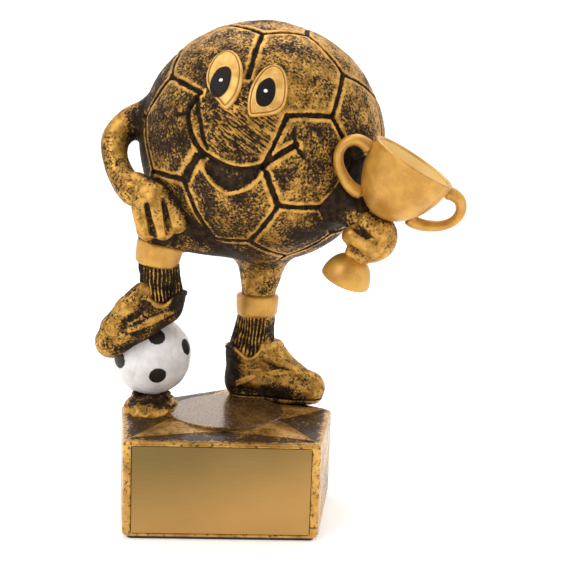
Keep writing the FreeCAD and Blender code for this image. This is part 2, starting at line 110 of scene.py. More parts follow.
def closed_spline(points, steps=8):
    """Points on a smooth closed curve through the given ones."""
    points = [tuple(p) for p in points]
    wrapped = points[-1:] + points + points[:2]
    return spline(wrapped, steps)[steps:steps * (len(points) + 1)]


CUP_LEAN_RIGHT, CUP_LEAN_FORWARD = np.radians((30.0, 17.5))
CUP_ACROSS = np.array((np.cos(CUP_LEAN_RIGHT), 0.0, -np.sin(CUP_LEAN_RIGHT)))
CUP_UP = np.array((np.sin(CUP_LEAN_RIGHT) * np.cos(CUP_LEAN_FORWARD), -np.sin(CUP_LEAN_FORWARD),
                   np.cos(CUP_LEAN_RIGHT) * np.cos(CUP_LEAN_FORWARD)))
CUP_BACK = np.cross(CUP_UP, CUP_ACROSS)
CUP_AXES = np.array((CUP_ACROSS, CUP_BACK, CUP_UP))
STEM_MIDDLE_DOWN = 24.2
CUP_RIM = middle("cup_stem") + STEM_MIDDLE_DOWN * CUP_UP
CUP_RADIUS = 12.3
CUP_DEPTH = 17.5
CUP_WALL = 1.2
FOOT_TOP = (1.8, 0, -32.0)
FOOT_TURN = 11.0         # degrees that the foot stands more upright than the stem

# Egg shapes that other pieces meet: the middle, the radii and, where they lean, the axes.
BIG_BALL = (middle("ball_body"), half("ball_body"))
SMALL_BALL = (middle("small_ball"), half("small_ball"))
BOWL = (CUP_RIM, (CUP_RADIUS, CUP_RADIUS, CUP_DEPTH), CUP_AXES)
HIP_MITT = (near("hip_hand", 1.0, -3.0, -1.0), (8.0, 5.0, 8.0))


# ---------------------------------------------------------------- sculpting

class Clay:
    """A block of modelling clay: the distance from each grid point to the surface, negative inside."""

    def __init__(self, low, high, step=0.3):
        self.low = np.array(low, float)
        self.step = step
        counts = np.ceil((np.array(high, float) - self.low) / step).astype(int) + 1
        axes = [(self.low[k] + step * np.arange(counts[k])).astype(np.float32) for k in range(3)]
        self.x, self.y, self.z = np.meshgrid(*axes, indexing="ij", sparse=True)
        self.d = np.full(counts, FAR, np.float32)

    def add(self, field, blend):
        self.d = merge(self.d, field, blend)

    def cut(self, field, blend):
        self.d = common(self.d, -field, blend)

    def keep(self, field, blend):
        self.cut(-field, blend)

    def roughen(self, seed, *lumps):
        """Adds lumps to the surface. Each is a height and a size, in mm."""
        for k, (height, size) in enumerate(lumps):
            self.d = self.d + height * ripples(self, size, seed + k)


def merge(a, b, blend):
    """The union of two fields, with a fillet about as wide as blend."""
    share = np.clip(0.5 + 0.5 * (b - a) / blend, 0, 1)
    return b + (a - b) * share - blend * share * (1 - share)


def common(a, b, blend):
    """What two fields share, with a rounding about as wide as blend."""
    return -merge(-a, -b, blend)


def limb(clay, start, end, start_radius, end_radius):
    """A round bar from start to end whose radius changes evenly."""
    axis = np.asarray(end, float) - start
    dx, dy, dz = clay.x - start[0], clay.y - start[1], clay.z - start[2]
    along = np.clip((dx * axis[0] + dy * axis[1] + dz * axis[2]) / (axis @ axis), 0, 1)
    dx, dy, dz = dx - along * axis[0], dy - along * axis[1], dz - along * axis[2]
    return np.sqrt(dx * dx + dy * dy + dz * dz) - (start_radius + (end_radius - start_radius) * along)


def rope(clay, points, radii, blend):
    """Round bars through a row of points, filleted into one another."""
    rows = zip(points, points[1:], radii, radii[1:])
    return bars(clay, [(*row, blend) for row in rows])


def bars(clay, rows):
    """Round bars, each given by its two ends, their radii, and its fillet to the bars before it."""
    field = None
    for *ends, blend in rows:
        bar = limb(clay, *ends)
        field = bar if field is None else merge(field, bar, blend)
    return field


def smooth_rope(clay, points, radii, steps=4):
    """A round bar along a smooth curve through a row of points."""
    line = spline([(*point, radius) for point, radius in zip(points, radii)], steps)
    field = FAR
    for a, b in zip(line, line[1:]):
        field = np.minimum(field, limb(clay, a[:3], b[:3], a[3], b[3]))
    return field


def turned(clay, centre, axes):
    """The grid's coordinates from centre along three unit axes."""
    dx, dy, dz = clay.x - centre[0], clay.y - centre[1], clay.z - centre[2]
    return [dx * a[0] + dy * a[1] + dz * a[2] for a in axes]


PLAIN_AXES = np.eye(3)


def egg(clay, centre, radii, axes=PLAIN_AXES):
    """An ellipsoid."""
    p = turned(clay, centre, axes)
    scaled = np.sqrt(sum((p[k] / radii[k]) ** 2 for k in range(3)))
    slope = np.sqrt(sum((p[k] / radii[k] ** 2) ** 2 for k in range(3)))
    return scaled * (scaled - 1) / np.maximum(slope, 1e-6)


def slab(clay, centre, halves, rounding, axes=PLAIN_AXES):
    """A box with rounded edges."""
    p = turned(clay, centre, axes)
    q = [np.abs(p[k]) - halves[k] + rounding for k in range(3)]
    outside = np.sqrt(sum(np.maximum(part, 0) ** 2 for part in q))
    inside = np.minimum(np.maximum(np.maximum(q[0], q[1]), q[2]), 0)
    return outside + inside - rounding


def lumps(x, y, z, size, seed, waves=12):
    """Smooth uneven lumps, about -1 to 1, with hollows about size mm apart."""
    random = np.random.RandomState(seed)
    total = 0
    for _ in range(waves):
        way = unit(random.normal(size=3)) * 2 * np.pi / size * random.uniform(0.7, 1.3)
        total = total + np.sin(x * way[0] + y * way[1] + z * way[2] + random.uniform(0, 6.3))
    return total / np.sqrt(waves)


def ripples(clay, size, seed):
    return lumps(clay.x, clay.y, clay.z, size, seed, waves=9)


def blurred(field, reach):
    """The field averaged over a box of 2 reach + 1 points a side, twice."""
    for _ in range(2):
        for axis in range(3):
            pads = [(reach + 1, reach) if k == axis else (0, 0) for k in range(3)]
            sums = np.cumsum(np.pad(field, pads, mode="edge"), axis=axis, dtype=np.float64)
            count = field.shape[axis]
            high = np.take(sums, range(2 * reach + 1, 2 * reach + 1 + count), axis=axis)
            low = np.take(sums, range(count), axis=axis)
            field = ((high - low) / (2 * reach + 1)).astype(np.float32)
    return field


def sampled(clay, field, points):
    """The field's values at points, in mm."""
    place = (points - clay.low) / clay.step
    cell = np.clip(np.floor(place).astype(int), 0, np.array(field.shape) - 2)
    share = place - cell
    total = 0
    for corner in np.ndindex(2, 2, 2):
        weight = np.prod(np.where(corner, share, 1 - share), axis=1)
        total = total + weight * field[tuple((cell + corner).T)]
    return total


def shade_and_wash_at(gap, reach=SHADE_AND_WASH_REACH):
    """How much dark wash and painted shade gather at a gap in mm: 1 at 0 and below, fading out over about
    reach.
    """
    return np.exp(-np.maximum(gap, 0) / reach)


def fired(clay, name, node, material, neighbours=()):
    """Turns clay into a mesh piece that stands for a CAD node. Its points know how far they stand out of or
    into their surroundings (relief), and how close they are to neighbouring pieces, where the paint puts dark
    wash and painted shade."""
    band = 3 * clay.step
    grid = openvdb.FloatGrid(band)
    grid.copyFromArray(np.clip(clay.d, -band, band).astype(np.float32))
    points, quads = grid.convertToQuads()
    points = points * clay.step + clay.low
    wide = np.clip(clay.d, -2.4, 2.4)
    relief = sampled(clay, blurred(wide, max(1, round(0.75 / clay.step))), points)
    shade_and_wash = np.zeros(len(points))
    for field in neighbours:
        shade_and_wash = np.maximum(shade_and_wash, shade_and_wash_at(sampled(clay, field, points)))
    return piece(name, points, quads.tolist(), material, [node], {"relief": relief, "shade_and_wash": shade_and_wash})


def piece(name, points, faces, material, replaces, attributes):
    """A smooth mesh piece from points in mm. Each attribute is one number a point."""
    mesh = bpy.data.meshes.new(name)
    mesh.from_pydata((np.asarray(points) * MM).tolist(), [], faces)
    if volume(mesh) < 0:
        mesh.flip_normals()
    mesh.shade_smooth()
    for key, values in attributes.items():
        layer = mesh.attributes.new(key, "FLOAT", "POINT")
        layer.data.foreach_set("value", np.asarray(values, np.float32))
    mesh.materials.append(material)
    made = put_in_scene(name, mesh)
    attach(made, "root")
    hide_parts(*replaces)
    return made


def put_in_scene(name, data):
    made = bpy.data.objects.new(name, data)
    bpy.context.scene.collection.objects.link(made)
    return made


def volume(mesh):
    """Six times the volume that the faces enclose: negative when they face inward."""
    mesh.calc_loop_triangles()
    corners = np.empty(len(mesh.loop_triangles) * 3, np.int32)
    mesh.loop_triangles.foreach_get("vertices", corners)
    places = np.empty(len(mesh.vertices) * 3)
    mesh.vertices.foreach_get("co", places)
    a, b, c = places.reshape(-1, 3)[corners.reshape(-1, 3)].transpose(1, 0, 2)
    return float(np.einsum("ij,ij->i", a, np.cross(b, c)).sum())


# ---------------------------------------------------------------- materials

def ink(red, green, blue):
    """A colour given by its screen values, 0 to 255, as the linear colour that nodes take."""
    values = np.array((red, green, blue)) / 255
    linear = np.where(values < 0.04045, values / 12.92, ((values + 0.055) / 1.055) ** 2.4)
    return (*linear.tolist(), 1)


class Paint:
    """A node material under construction. Sizes of patterns are in mm."""

    def __init__(self, name, **sockets):
        self.material = bpy.data.materials.new(name)
        self.material.use_nodes = True
        self.tree = self.material.node_tree
        self.shader = self.tree.nodes["Principled BSDF"]
        self.where = self.tree.nodes.new("ShaderNodeTexCoord").outputs["Object"]
        for socket, value in sockets.items():
            self.shader.inputs[socket.replace("_", " ")].default_value = value

    def put(self, kind, outlet, inlets, **settings):
        made = self.tree.nodes.new(kind)
        for key, value in settings.items():
            setattr(made, key, value)
        for key, value in inlets.items():
            if isinstance(value, bpy.types.NodeSocket):
                self.tree.links.new(value, made.inputs[key])
            else:
                made.inputs[key].default_value = value
        return made.outputs[outlet]

    def noise(self, size, detail=2.0, roughness=0.5, stretch=(1, 1, 1), turn=(0, 0, 0), shift=0.0):
        moved = {"Vector": self.where, "Rotation": turn, "Location": (shift,) * 3}
        where = self.put("ShaderNodeMapping", 0, moved, vector_type="TEXTURE")
        where = self.put("ShaderNodeMapping", 0, {"Vector": where, "Scale": stretch})
        grain = {"Vector": where, "Scale": 1 / (size * MM), "Detail": detail, "Roughness": roughness}
        return self.put("ShaderNodeTexNoise", 0, grain)

    def trait(self, name):
        return self.put("ShaderNodeAttribute", "Fac", {}, attribute_name=name)

    def times(self, a, b, operation="MULTIPLY"):
        return self.put("ShaderNodeMath", 0, {0: a, 1: b}, operation=operation)

    def sum(self, *terms):
        """Adds sockets and (socket, factor) pairs and numbers."""
        total = None
        for term in terms:
            if isinstance(term, tuple):
                term = self.times(*term)
            total = term if total is None else self.times(total, term, "ADD")
        return total

    def ramp(self, value, low, high, start=0.0, end=1.0):
        return self.put("ShaderNodeMapRange", 0, {0: value, 1: low, 2: high, 3: start, 4: end},
                        interpolation_type="SMOOTHSTEP")

    def mix(self, share, a, b):
        return self.put("ShaderNodeMix", 2, {0: share, 6: a, 7: b}, data_type="RGBA")

    def slope(self, direction, low, high):
        """0 to 1 along a direction, between two distances in mm."""
        inlets = {0: self.where, 1: direction}
        along = self.put("ShaderNodeVectorMath", "Value", inlets, operation="DOT_PRODUCT")
        return self.ramp(along, low * MM, high * MM)

    def done(self, colour, roughness=None, metal=None, bump=None, depth=0.0):
        """Links the sockets to the shader. The surface rises by bump (0 to 1) times depth in mm."""
        inlets = {"Base Color": colour, "Roughness": roughness, "Metallic": metal}
        if bump is not None:
            relief = {"Height": bump, "Distance": depth * MM, "Strength": 1.0}
            inlets["Normal"] = self.put("ShaderNodeBump", 0, relief)
        for socket, value in inlets.items():
            if value is not None:
                self.tree.links.new(value, self.shader.inputs[socket])
        return self.material


DARK_WASH = ink(30, 22, 17)
BROWN_WASH = ink(60, 44, 26)
OLD_GOLD = ink(164, 120, 52)
BRIGHT_GOLD = ink(214, 163, 80)


def antique_gold(name, share, speckle=0.7, patch=0.8, streaks=0.0):
    """Gold dry-brushed over a near-black wash: gold where the casting stands out, black in its hollows. A
    bigger share is more gold, speckle is its specks' size, patch and streaks are how strongly those show."""
    paint = Paint(name, IOR=1.17, Coat_Weight=0.03, Coat_Roughness=0.22)
    fine = paint.noise(speckle, 3.0, 0.62)
    patches = paint.noise(6.0, 3.0, 0.55)
    relief = paint.trait("relief")
    # Painted light and shade go into the cover: more gold on the ball's side towards the light, and less near
    # other pieces, where dark wash and painted shade gather.
    cover = paint.sum((fine, 0.9), (patches, patch), (relief, 0.6), (paint.trait("painted_light_and_blotches"), 0.07),
                      (paint.trait("shade_and_wash"), -0.4), share - 0.45 - patch / 2)
    if streaks:
        brushed = paint.noise(0.5, 2.0, 0.5, stretch=(0.06, 1, 1), turn=(0, np.radians(35), 0))
        on_face = paint.times(paint.sum(brushed, -0.5), paint.trait("face"))
        cover = paint.sum(cover, (on_face, streaks))
    gold = paint.ramp(cover, 0.40, 0.64)
    shine = paint.ramp(paint.sum((paint.noise(2.4), 1.0), (relief, 0.2)), 0.35, 0.68)
    metal = paint.mix(shine, OLD_GOLD, BRIGHT_GOLD)
    black = paint.mix(paint.ramp(paint.noise(1.6), 0.35, 0.7), DARK_WASH, BROWN_WASH)
    return paint.done(paint.mix(gold, black, metal), paint.ramp(gold, 0, 1, 0.62, 0.4),
                      paint.ramp(gold, 0, 1, 0.0, 0.6), paint.sum((fine, 0.5), (gold, 0.5)), 0.06)


def satin_gold(name):
    """Smooth satin gold paint with a few dark specks left in its hollows, and paler inside the cup as a
    painted reflection.
    """
    paint = Paint(name, Coat_Weight=0.15, Coat_Roughness=0.3)
    cloud = paint.noise(5.0, 3.0, 0.55)
    fine = paint.noise(0.5, 3.0, 0.6)
    inside = paint.trait("inside")
    clouded = paint.ramp(paint.sum((cloud, 0.8), (fine, 0.2)), 0.35, 0.65)
    tone = paint.mix(clouded, ink(186, 132, 50), ink(212, 160, 68))
    # Painted reflection: the bowl's inside is painted pale and made less metallic.
    tone = paint.mix(inside, tone, ink(240, 212, 146))
    worn = paint.ramp(paint.sum((fine, 1.0), (cloud, 0.6), (paint.trait("relief"), 1.1)), 0.42, 0.56)
    return paint.done(paint.mix(worn, ink(96, 62, 26), tone), paint.ramp(cloud, 0.3, 0.7, 0.34, 0.44),
                      paint.ramp(inside, 0, 1, 0.42, 0.1), fine, 0.02)


def eye_gold(name):
    """Pale gold eye with a painted black pupil and its white spot; the traits are distances in mm."""
    paint = Paint(name, IOR=1.25)
    pupil = paint.ramp(paint.trait("pupil"), -0.1, 0.1)
    cloud = paint.ramp(paint.noise(3.0, 3.0, 0.55), 0.35, 0.65)
    tone = paint.mix(cloud, ink(212, 160, 80), ink(238, 192, 112))
    tone = paint.mix(paint.ramp(paint.trait("rim"), 0.1, 0.45), tone, ink(142, 98, 42))
    tone = paint.mix(pupil, tone, ink(26, 20, 18))
    tone = paint.mix(paint.ramp(paint.trait("glint"), -0.08, 0.08), tone, ink(250, 248, 244))
    return paint.done(tone, paint.ramp(pupil, 0, 1, 0.4, 0.5), paint.ramp(pupil, 0, 1, 0.3, 0.0))


def white_ball_paint(name):
    """White paint with black painted spots; the trait spot is the distance into a spot, in mm."""
    paint = Paint(name, IOR=1.3, Coat_Weight=0.2, Coat_Roughness=0.15)
    cloud = paint.noise(6.0, 3.0, 0.55)
    edge = paint.sum(paint.noise(0.9), -0.5)
    spot = paint.ramp(paint.sum(paint.trait("spot"), (edge, 0.5)), -0.12, 0.12)
    tone = paint.mix(paint.ramp(cloud, 0.35, 0.7), ink(214, 208, 206), ink(240, 236, 234))
    return paint.done(paint.mix(spot, tone, ink(34, 28, 26)), paint.ramp(cloud, 0.3, 0.7, 0.3, 0.42),
                      bump=paint.noise(1.4, 3.0), depth=0.05)


def base_gold(name, share):
    """Glossy bronze base: gold worn through at the rims, speckled with dark."""
    paint = Paint(name, IOR=1.25, Coat_Weight=0.2, Coat_Roughness=0.1, Coat_IOR=1.35)
    fine = paint.noise(0.9, 3.0, 0.62)
    pits = paint.noise(1.1, 4.0, 0.7, shift=5 * MM)
    cloud = paint.noise(6.0, 3.0, 0.55)
    cover = paint.sum((fine, 1.1), (cloud, 0.5), (paint.trait("relief"), 0.8), (paint.trait("shade_and_wash"), -0.28),
                      share - 0.80)
    gold = paint.times(paint.ramp(cover, 0.36, 0.62), paint.ramp(pits, 0.54, 0.62, 1.0, 0.15))
    tone = paint.mix(paint.ramp(cloud, 0.35, 0.65), ink(172, 124, 52), ink(216, 166, 86))
    return paint.done(paint.mix(gold, ink(46, 30, 16), tone), paint.ramp(gold, 0, 1, 0.42, 0.32),
                      paint.ramp(gold, 0, 1, 0.1, 0.65), paint.sum((fine, 0.5), (gold, 0.5)), 0.04)


def disc_gold(name):
    """Glossy brown disc, mottled, paler at its left and darker at its right as a painted reflection of the
    dark figure above it.
    """
    paint = Paint(name, IOR=1.4, Coat_Weight=0.4, Coat_Roughness=0.12)
    fine = paint.noise(0.8, 3.0, 0.65)
    cloud = paint.noise(7.0)
    patches = paint.noise(2.2, 3.0, 0.6)
    # Painted reflection: the slope darkens the disc towards its right, under the mottling.
    shade = paint.sum((paint.slope((1, 0, 0), -4, 4), 0.5), (cloud, 0.35), (patches, 1.3), -0.7)
    tone = paint.mix(paint.ramp(fine, 0.4, 0.6), ink(122, 86, 46), ink(168, 126, 76))
    return paint.done(paint.mix(shade, tone, ink(60, 40, 22)), paint.ramp(fine, 0.3, 0.7, 0.2, 0.34),
                      paint.ramp(cloud, 0.3, 0.7, 0.2, 0.4), fine, 0.03)


def plate_metal(name):
    """Brushed sheet, olive at its upper left and warmer gold at its lower right: a painted reflection of the
    studio, brighter towards that corner.
    """
    paint = Paint(name, Metallic=1.0)
    lines = paint.noise(0.12, 2.0, 0.6, stretch=(0.02, 1, 1))
    # Painted reflection: the sheet brightens towards its lower right, with the brushed lines and a slow cloud
    # over it.
    to_corner = paint.slope((0.25, 0, -0.97), -30, -2)
    grain_and_painted_reflection = paint.sum((to_corner, 0.8), (lines, 0.5), (paint.noise(16.0, 1.0), 0.2), -0.29)
    return paint.done(paint.mix(grain_and_painted_reflection, ink(116, 98, 58), ink(194, 150, 88)),
                      paint.ramp(lines, 0.3, 0.7, 0.34, 0.5), bump=lines, depth=0.01)


def steel_rod(name):
    """Drawn steel, with its grain along Z."""
    paint = Paint(name, Metallic=1.0)
    lines = paint.noise(0.12, 2.0, 0.6, stretch=(1, 1, 0.05))
    shade = paint.sum((lines, 0.5), (paint.noise(30.0, 1.0), 0.5))
    return paint.done(paint.mix(shade, ink(120, 122, 124), ink(176, 178, 182)),
                      paint.ramp(lines, 0.3, 0.7, 0.36, 0.48), bump=lines, depth=0.004)


def felt(name):
    """Dark felt: a soft fibrous mat."""
    paint = Paint(name, Sheen_Weight=0.4)
    fibres = paint.noise(0.35, 4.0, 0.7)
    return paint.done(paint.mix(fibres, ink(22, 24, 22), ink(52, 56, 50)),
                      paint.ramp(fibres, 0, 1, 0.85, 1.0), bump=fibres, depth=0.15)


def adhesive(name):
    """A clear yellowish sheet of glue."""
    paint = Paint(name)
    bubbles = paint.noise(1.5, 3.0)
    return paint.done(paint.mix(bubbles, ink(200, 190, 150), ink(226, 220, 190)),
                      paint.ramp(bubbles, 0.3, 0.7, 0.3, 0.5))


# ---------------------------------------------------------------- the big ball

BALL, BALL_RADII = BIG_BALL
GOLDEN = (1 + 5 ** 0.5) / 2


def toward(azimuth, elevation):
    """The unit direction at these degrees round from the front and up, on the ball of radius 1."""
    a, e = np.radians(azimuth), np.radians(elevation)
    return np.stack([np.cos(e) * np.sin(a), -np.cos(e) * np.cos(a), np.sin(e)], axis=-1)


def line_on_ball(points, steps=6):
    """Directions along a smooth line through (azimuth, elevation) places."""
    places = spline(points, steps)
    return toward(places[:, 0], places[:, 1])


def gap_to_bar(places, a, b):
    """The distance from each place to the straight line between two."""
    run = b - a
    along = np.clip((places - a) @ run / (run @ run), 0, 1)
    return np.linalg.norm(places - a - along[:, None] * run, axis=1)


def gap_to_line(directions, line):
    """The distance in mm from each direction to a line of directions on the big ball."""
    return np.min([gap_to_bar(directions, a, b) for a, b in zip(line, line[1:])], axis=0) * BALL_RIM


def triangle_grid(steps):
    """Even points over a triangle, as weights of its corners, and the small triangles between them."""
    rows = [(i, j) for i in range(steps + 1) for j in range(steps + 1 - i)]
    index = {row: k for k, row in enumerate(rows)}
    cells = []
    for i, j in rows:
        if i + j < steps:
            cells.append((index[i, j], index[i + 1, j], index[i, j + 1]))
        if i + j < steps - 1:
            cells.append((index[i + 1, j], index[i + 1, j + 1], index[i, j + 1]))
    return np.array([(steps - i - j, i, j) for i, j in rows], float) / steps, np.array(cells)


def weld(points, faces, digits):
    """Joins points that are the same to so many digits: the numbers of those that stay, and the new faces."""
    _, first, same = np.unique(np.round(points, digits), axis=0, return_index=True, return_inverse=True)
    return first, same.reshape(-1)[faces]


def geodesic(frequency):
    """Even directions all round a sphere, and the triangles between them."""
    corners = []
    for a in (-1, 1):
        for b in (-GOLDEN, GOLDEN):
            corners += [(0, a, b), (a, b, 0), (b, 0, a)]
    corners = np.array(corners, float)
    gaps = np.linalg.norm(corners[:, None] - corners[None], axis=2)
    touching = (gaps > 0.1) & (gaps < 2.1)
    weights, cells = triangle_grid(frequency)
    points, faces = [], []
    for a, b, c in combinations(range(len(corners)), 3):
        if touching[a, b] and touching[b, c] and touching[a, c]:
            trio = corners[[a, b, c]]
            order = cells if np.linalg.det(trio) > 0 else cells[:, ::-1]
            faces.append(order + len(points) * len(weights))
            points.append(weights @ trio)
    points = unit_rows(np.vstack(points))
    first, faces = weld(points, np.vstack(faces), 5)
    return points[first], faces


# The seams follow a football's pattern of five- and six-sided panels, turned to the figure's pose.
SEAM_TURN = np.array([[0.96, -0.25, 0.10], [-0.23, -0.57, 0.79], [-0.14, -0.78, -0.61]])
# Corners of the pattern that the carver set by hand: (azimuth, elevation).
SET_CORNERS = {
    28: (-3, 51), 38: (31, 54), 46: (41, 30), 48: (29, 9), 40: (9, 8), 30: (-8, 24), 20: (-29, 17),
    12: (-51, 26), 25: (-28, -9), 35: (0, -14), 44: (8, -31), 52: (31, -31), 56: (42, -10),
    53: (54, -46), 37: (-8, -53), 27: (-35, -52), 16: (-38, -20), 4: (-66, 8), 8: (-60, -16),
}
# Seams that the eyes and the mouth take the place of.
LOST_SEAMS = {(20, 30), (30, 40), (25, 35), (20, 25)}
WIDE_SEAM = (16, 25)

UPPER_LIP = [(-31, 15), (-33.5, 9), (-32, 1), (-29, -5), (-25, -9), (-18, -13), (-12, -15), (-6, -15),
             (0, -13), (6, -8.5), (13, -4)]
LOWER_LIP = [(-28, -8), (-27, -12), (-25, -17), (-22, -21), (-19, -23.5), (-15, -25), (-8, -23), (-4, -20),
             (-1, -16.5), (1.5, -13)]
MOUTH = LOWER_LIP + UPPER_LIP[8:3:-1]
CREASES = [
    [(-40, 8), (-36, 8), (-33, 10), (-31, 15)],
    [(12, 2), (12, -1), (13, -4), (14, -6), (17, -9)],
    [(-30, 16), (-29, 10), (-27, 4), (-26, -1), (-24, -7)],
]
# Where dark wash and painted shade gather behind the cup's handle.
HANDLE_SHADE = [(42, -4), (44, -10), (48, -18), (57, -24)]
LEFT_EYE = [(-18.7, 37.6), (-14.3, 34.7), (-11.4, 29.7), (-10.3, 24.5), (-10.5, 19), (-11.8, 14.5),
            (-14.2, 11), (-15.8, 9.7), (-17.4, 10), (-19.4, 12.2), (-22.6, 15.5), (-25.9, 19.7),
            (-27.5, 24.7), (-27.4, 30), (-25.9, 34.4), (-22.7, 37)]
RIGHT_EYE = [(3.6, 30.2), (7.5, 28), (9.1, 23.2), (9.1, 18), (8.2, 12.8), (6.3, 9.7), (3.1, 7.8), (-2, 6.8),
             (-6, 6.7), (-7.2, 9.5), (-7.3, 14), (-6.4, 19.2), (-4.2, 24.1), (-0.8, 28.4)]
LEFT_PUPIL = [(-18.2, 28.1), (-15.6, 26), (-15.1, 21.7), (-16.1, 17), (-18.8, 14.1), (-22, 14.8),
              (-23.9, 17.8), (-23.9, 22.4), (-22, 26.8)]
RIGHT_PUPIL = [(1.2, 23.1), (3.6, 20.8), (3.8, 16), (2.1, 12), (-0.7, 10.4), (-3.3, 11.7), (-4.1, 15.5),
               (-2.8, 20.3)]
LEFT_GLINT = (-19.4, 21.5)
RIGHT_GLINT = (-0.2, 17.1)


def football_pattern():
    """The corners and seams of a football: a twenty-faced solid with its corners cut off."""
    shapes = [(0, 1, 3 * GOLDEN), (1, 2 + GOLDEN, 2 * GOLDEN), (GOLDEN, 2, 2 * GOLDEN + 1)]
    corners = set()
    for shape in shapes:
        for signs in np.ndindex(2, 2, 2):
            signed = [round(float(v * (1 - 2 * s)), 6) + 0.0 for v, s in zip(shape, signs)]
            for turn in range(3):
                corners.add(tuple(signed[turn:] + signed[:turn]))
    corners = np.array(sorted(corners))
    corners /= np.linalg.norm(corners[0])
    pairs = combinations(range(len(corners)), 2)
    seams = [(a, b) for a, b in pairs if np.linalg.norm(corners[a] - corners[b]) < 0.42]
    return corners @ SEAM_TURN.T, seams


def inside_outline(azimuth, elevation, outline):
    """Which places lie inside a closed outline of (azimuth, elevation) points."""
    inside = np.zeros(len(azimuth), bool)
    for (a, b), (c, d) in zip(outline, np.roll(outline, -1, axis=0)):
        crosses = (elevation < b) != (elevation < d)
        level = (elevation - b) / np.where(b == d, 1e-9, d - b)
        inside ^= crosses & (azimuth < a + level * (c - a))
    return inside


def seam_gap(directions):
    """The distance in mm from each direction to the nearest seam, up to 9."""
    corners, seams = football_pattern()
    for k, place in SET_CORNERS.items():
        corners[k] = toward(*place)
    gap = np.full(len(directions), 9.0)
    for a, b in seams:
        if (a, b) not in LOST_SEAMS:
            halfway = unit(corners[a] + corners[b])
            run = gap_to_line(directions, [corners[a], halfway, corners[b]])
            gap = np.minimum(gap, run * (0.6 if (a, b) == WIDE_SEAM else 1))
    return gap


def make_ball(material):
    directions, faces = geodesic(98)
    surface = directions * BALL_RADII
    azimuth = np.degrees(np.arctan2(directions[:, 0], -directions[:, 1]))
    elevation = np.degrees(np.arcsin(directions[:, 2]))
    in_mouth = inside_outline(azimuth, elevation, closed_spline(MOUTH))
    gap = seam_gap(directions) + 0.12 * lumps(*surface.T, 5.0, 1)
    lower = gap_to_line(directions, line_on_ball(LOWER_LIP))
    upper = gap_to_line(directions, line_on_ball(UPPER_LIP))
    crease = np.min([gap_to_line(directions, line_on_ball(points)) for points in CREASES], axis=0)

    seam = 1 - smooth_step(gap, 0.2, 0.7)
    panel_rim = ridge(gap, 1.2, 0.5)
    crown = smooth_step(gap, 0.5, 7.0)
    mouth_line = 1 - smooth_step(upper, 0.25, 0.85)
    fold = 1 - smooth_step(crease, 0.1, 0.65)
    hollow = np.where(in_mouth, smooth_step(np.minimum(lower, upper), 0, 0.7), 0)
    mouth_lip = np.where(in_mouth, 0, ridge(lower, 0.45, 0.42)) * smooth_step(upper, 0.4, 1.4)
    under_lip = np.where(in_mouth, 0, ridge(upper, 1.25, 0.45)) * smooth_step(azimuth, -34, -26)
    # Beside each feature are its height in mm and how strongly it takes the gold.
    features = [(seam, -1.0, -1.6), (panel_rim, 0.16, 0.42), (crown, 0.25, 0), (mouth_line, -1.0, -1.6),
                (fold, -0.7, -1.4), (hollow, -1.3, -0.2), (mouth_lip, 0.45, 1.0), (under_lip, 0.25, 0.6)]
    height = 0.07 * lumps(*surface.T, 9.0, 2) + 0.03 * lumps(*surface.T, 2.2, 3)
    relief = 0
    for shape, tall, gilding in features:
        height = height + tall * shape
        relief = relief + gilding * shape
    for outline in (LEFT_EYE, RIGHT_EYE):
        under = inside_outline(azimuth, elevation, closed_spline(outline))
        height = np.where(under, np.minimum(height, 0.1), height)

    places_on_ball = BALL + surface
    # Dark wash and painted shade: the ball darkens behind the cup's handle and where each limb meets it.
    behind_handle = gap_to_line(directions, line_on_ball(HANDLE_SHADE))
    shade_and_wash = shade_and_wash_at(behind_handle - 3.0)
    for points, radii in LIMBS.values():
        for a, b, radius in zip(points, points[1:], radii):
            shade_and_wash = np.maximum(shade_and_wash, shade_and_wash_at(gap_to_bar(places_on_ball, a, b) - radius, 1.5 * SHADE_AND_WASH_REACH))
    # Painted light: lighter towards the upper right, where the light falls, with slow random blotches.
    painted_light_and_blotches = directions @ unit((0.7, -0.1, 0.7)) + 0.5 * lumps(*surface.T, 26.0, 4)
    face = smooth_step(16 - np.abs(azimuth + 9), 0, 6) * smooth_step(14 - np.abs(elevation - 3), 0, 6)
    outward = unit_rows(directions / BALL_RADII)
    traits = {"relief": relief, "painted_light_and_blotches": painted_light_and_blotches, "face": face, "shade_and_wash": shade_and_wash}
    return piece("ball", places_on_ball + outward * height[:, None], faces.tolist(), material,
                 ["ball_body"], traits)


def outline_gap(places, outline):
    """The distance in mm from places on the ball to a closed outline, positive inside it."""
    closed = np.vstack([outline, outline[:1]])
    gap = gap_to_line(toward(places[:, 0], places[:, 1]), toward(closed[:, 0], closed[:, 1]))
    return np.where(inside_outline(places[:, 0], places[:, 1], outline), gap, -gap)


def rings(rows, around):
    """The faces of a row of rings of points, with a face across each end."""
    faces = []
    for row in range(rows - 1):
        for k in range(around):
            a, b = row * around + k, row * around + (k + 1) % around
            faces.append((a, b, b + around, a + around))
    last = (rows - 1) * around
    faces.append(tuple(range(around)))
    faces.append(tuple(last + k for k in reversed(range(around))))
    return faces


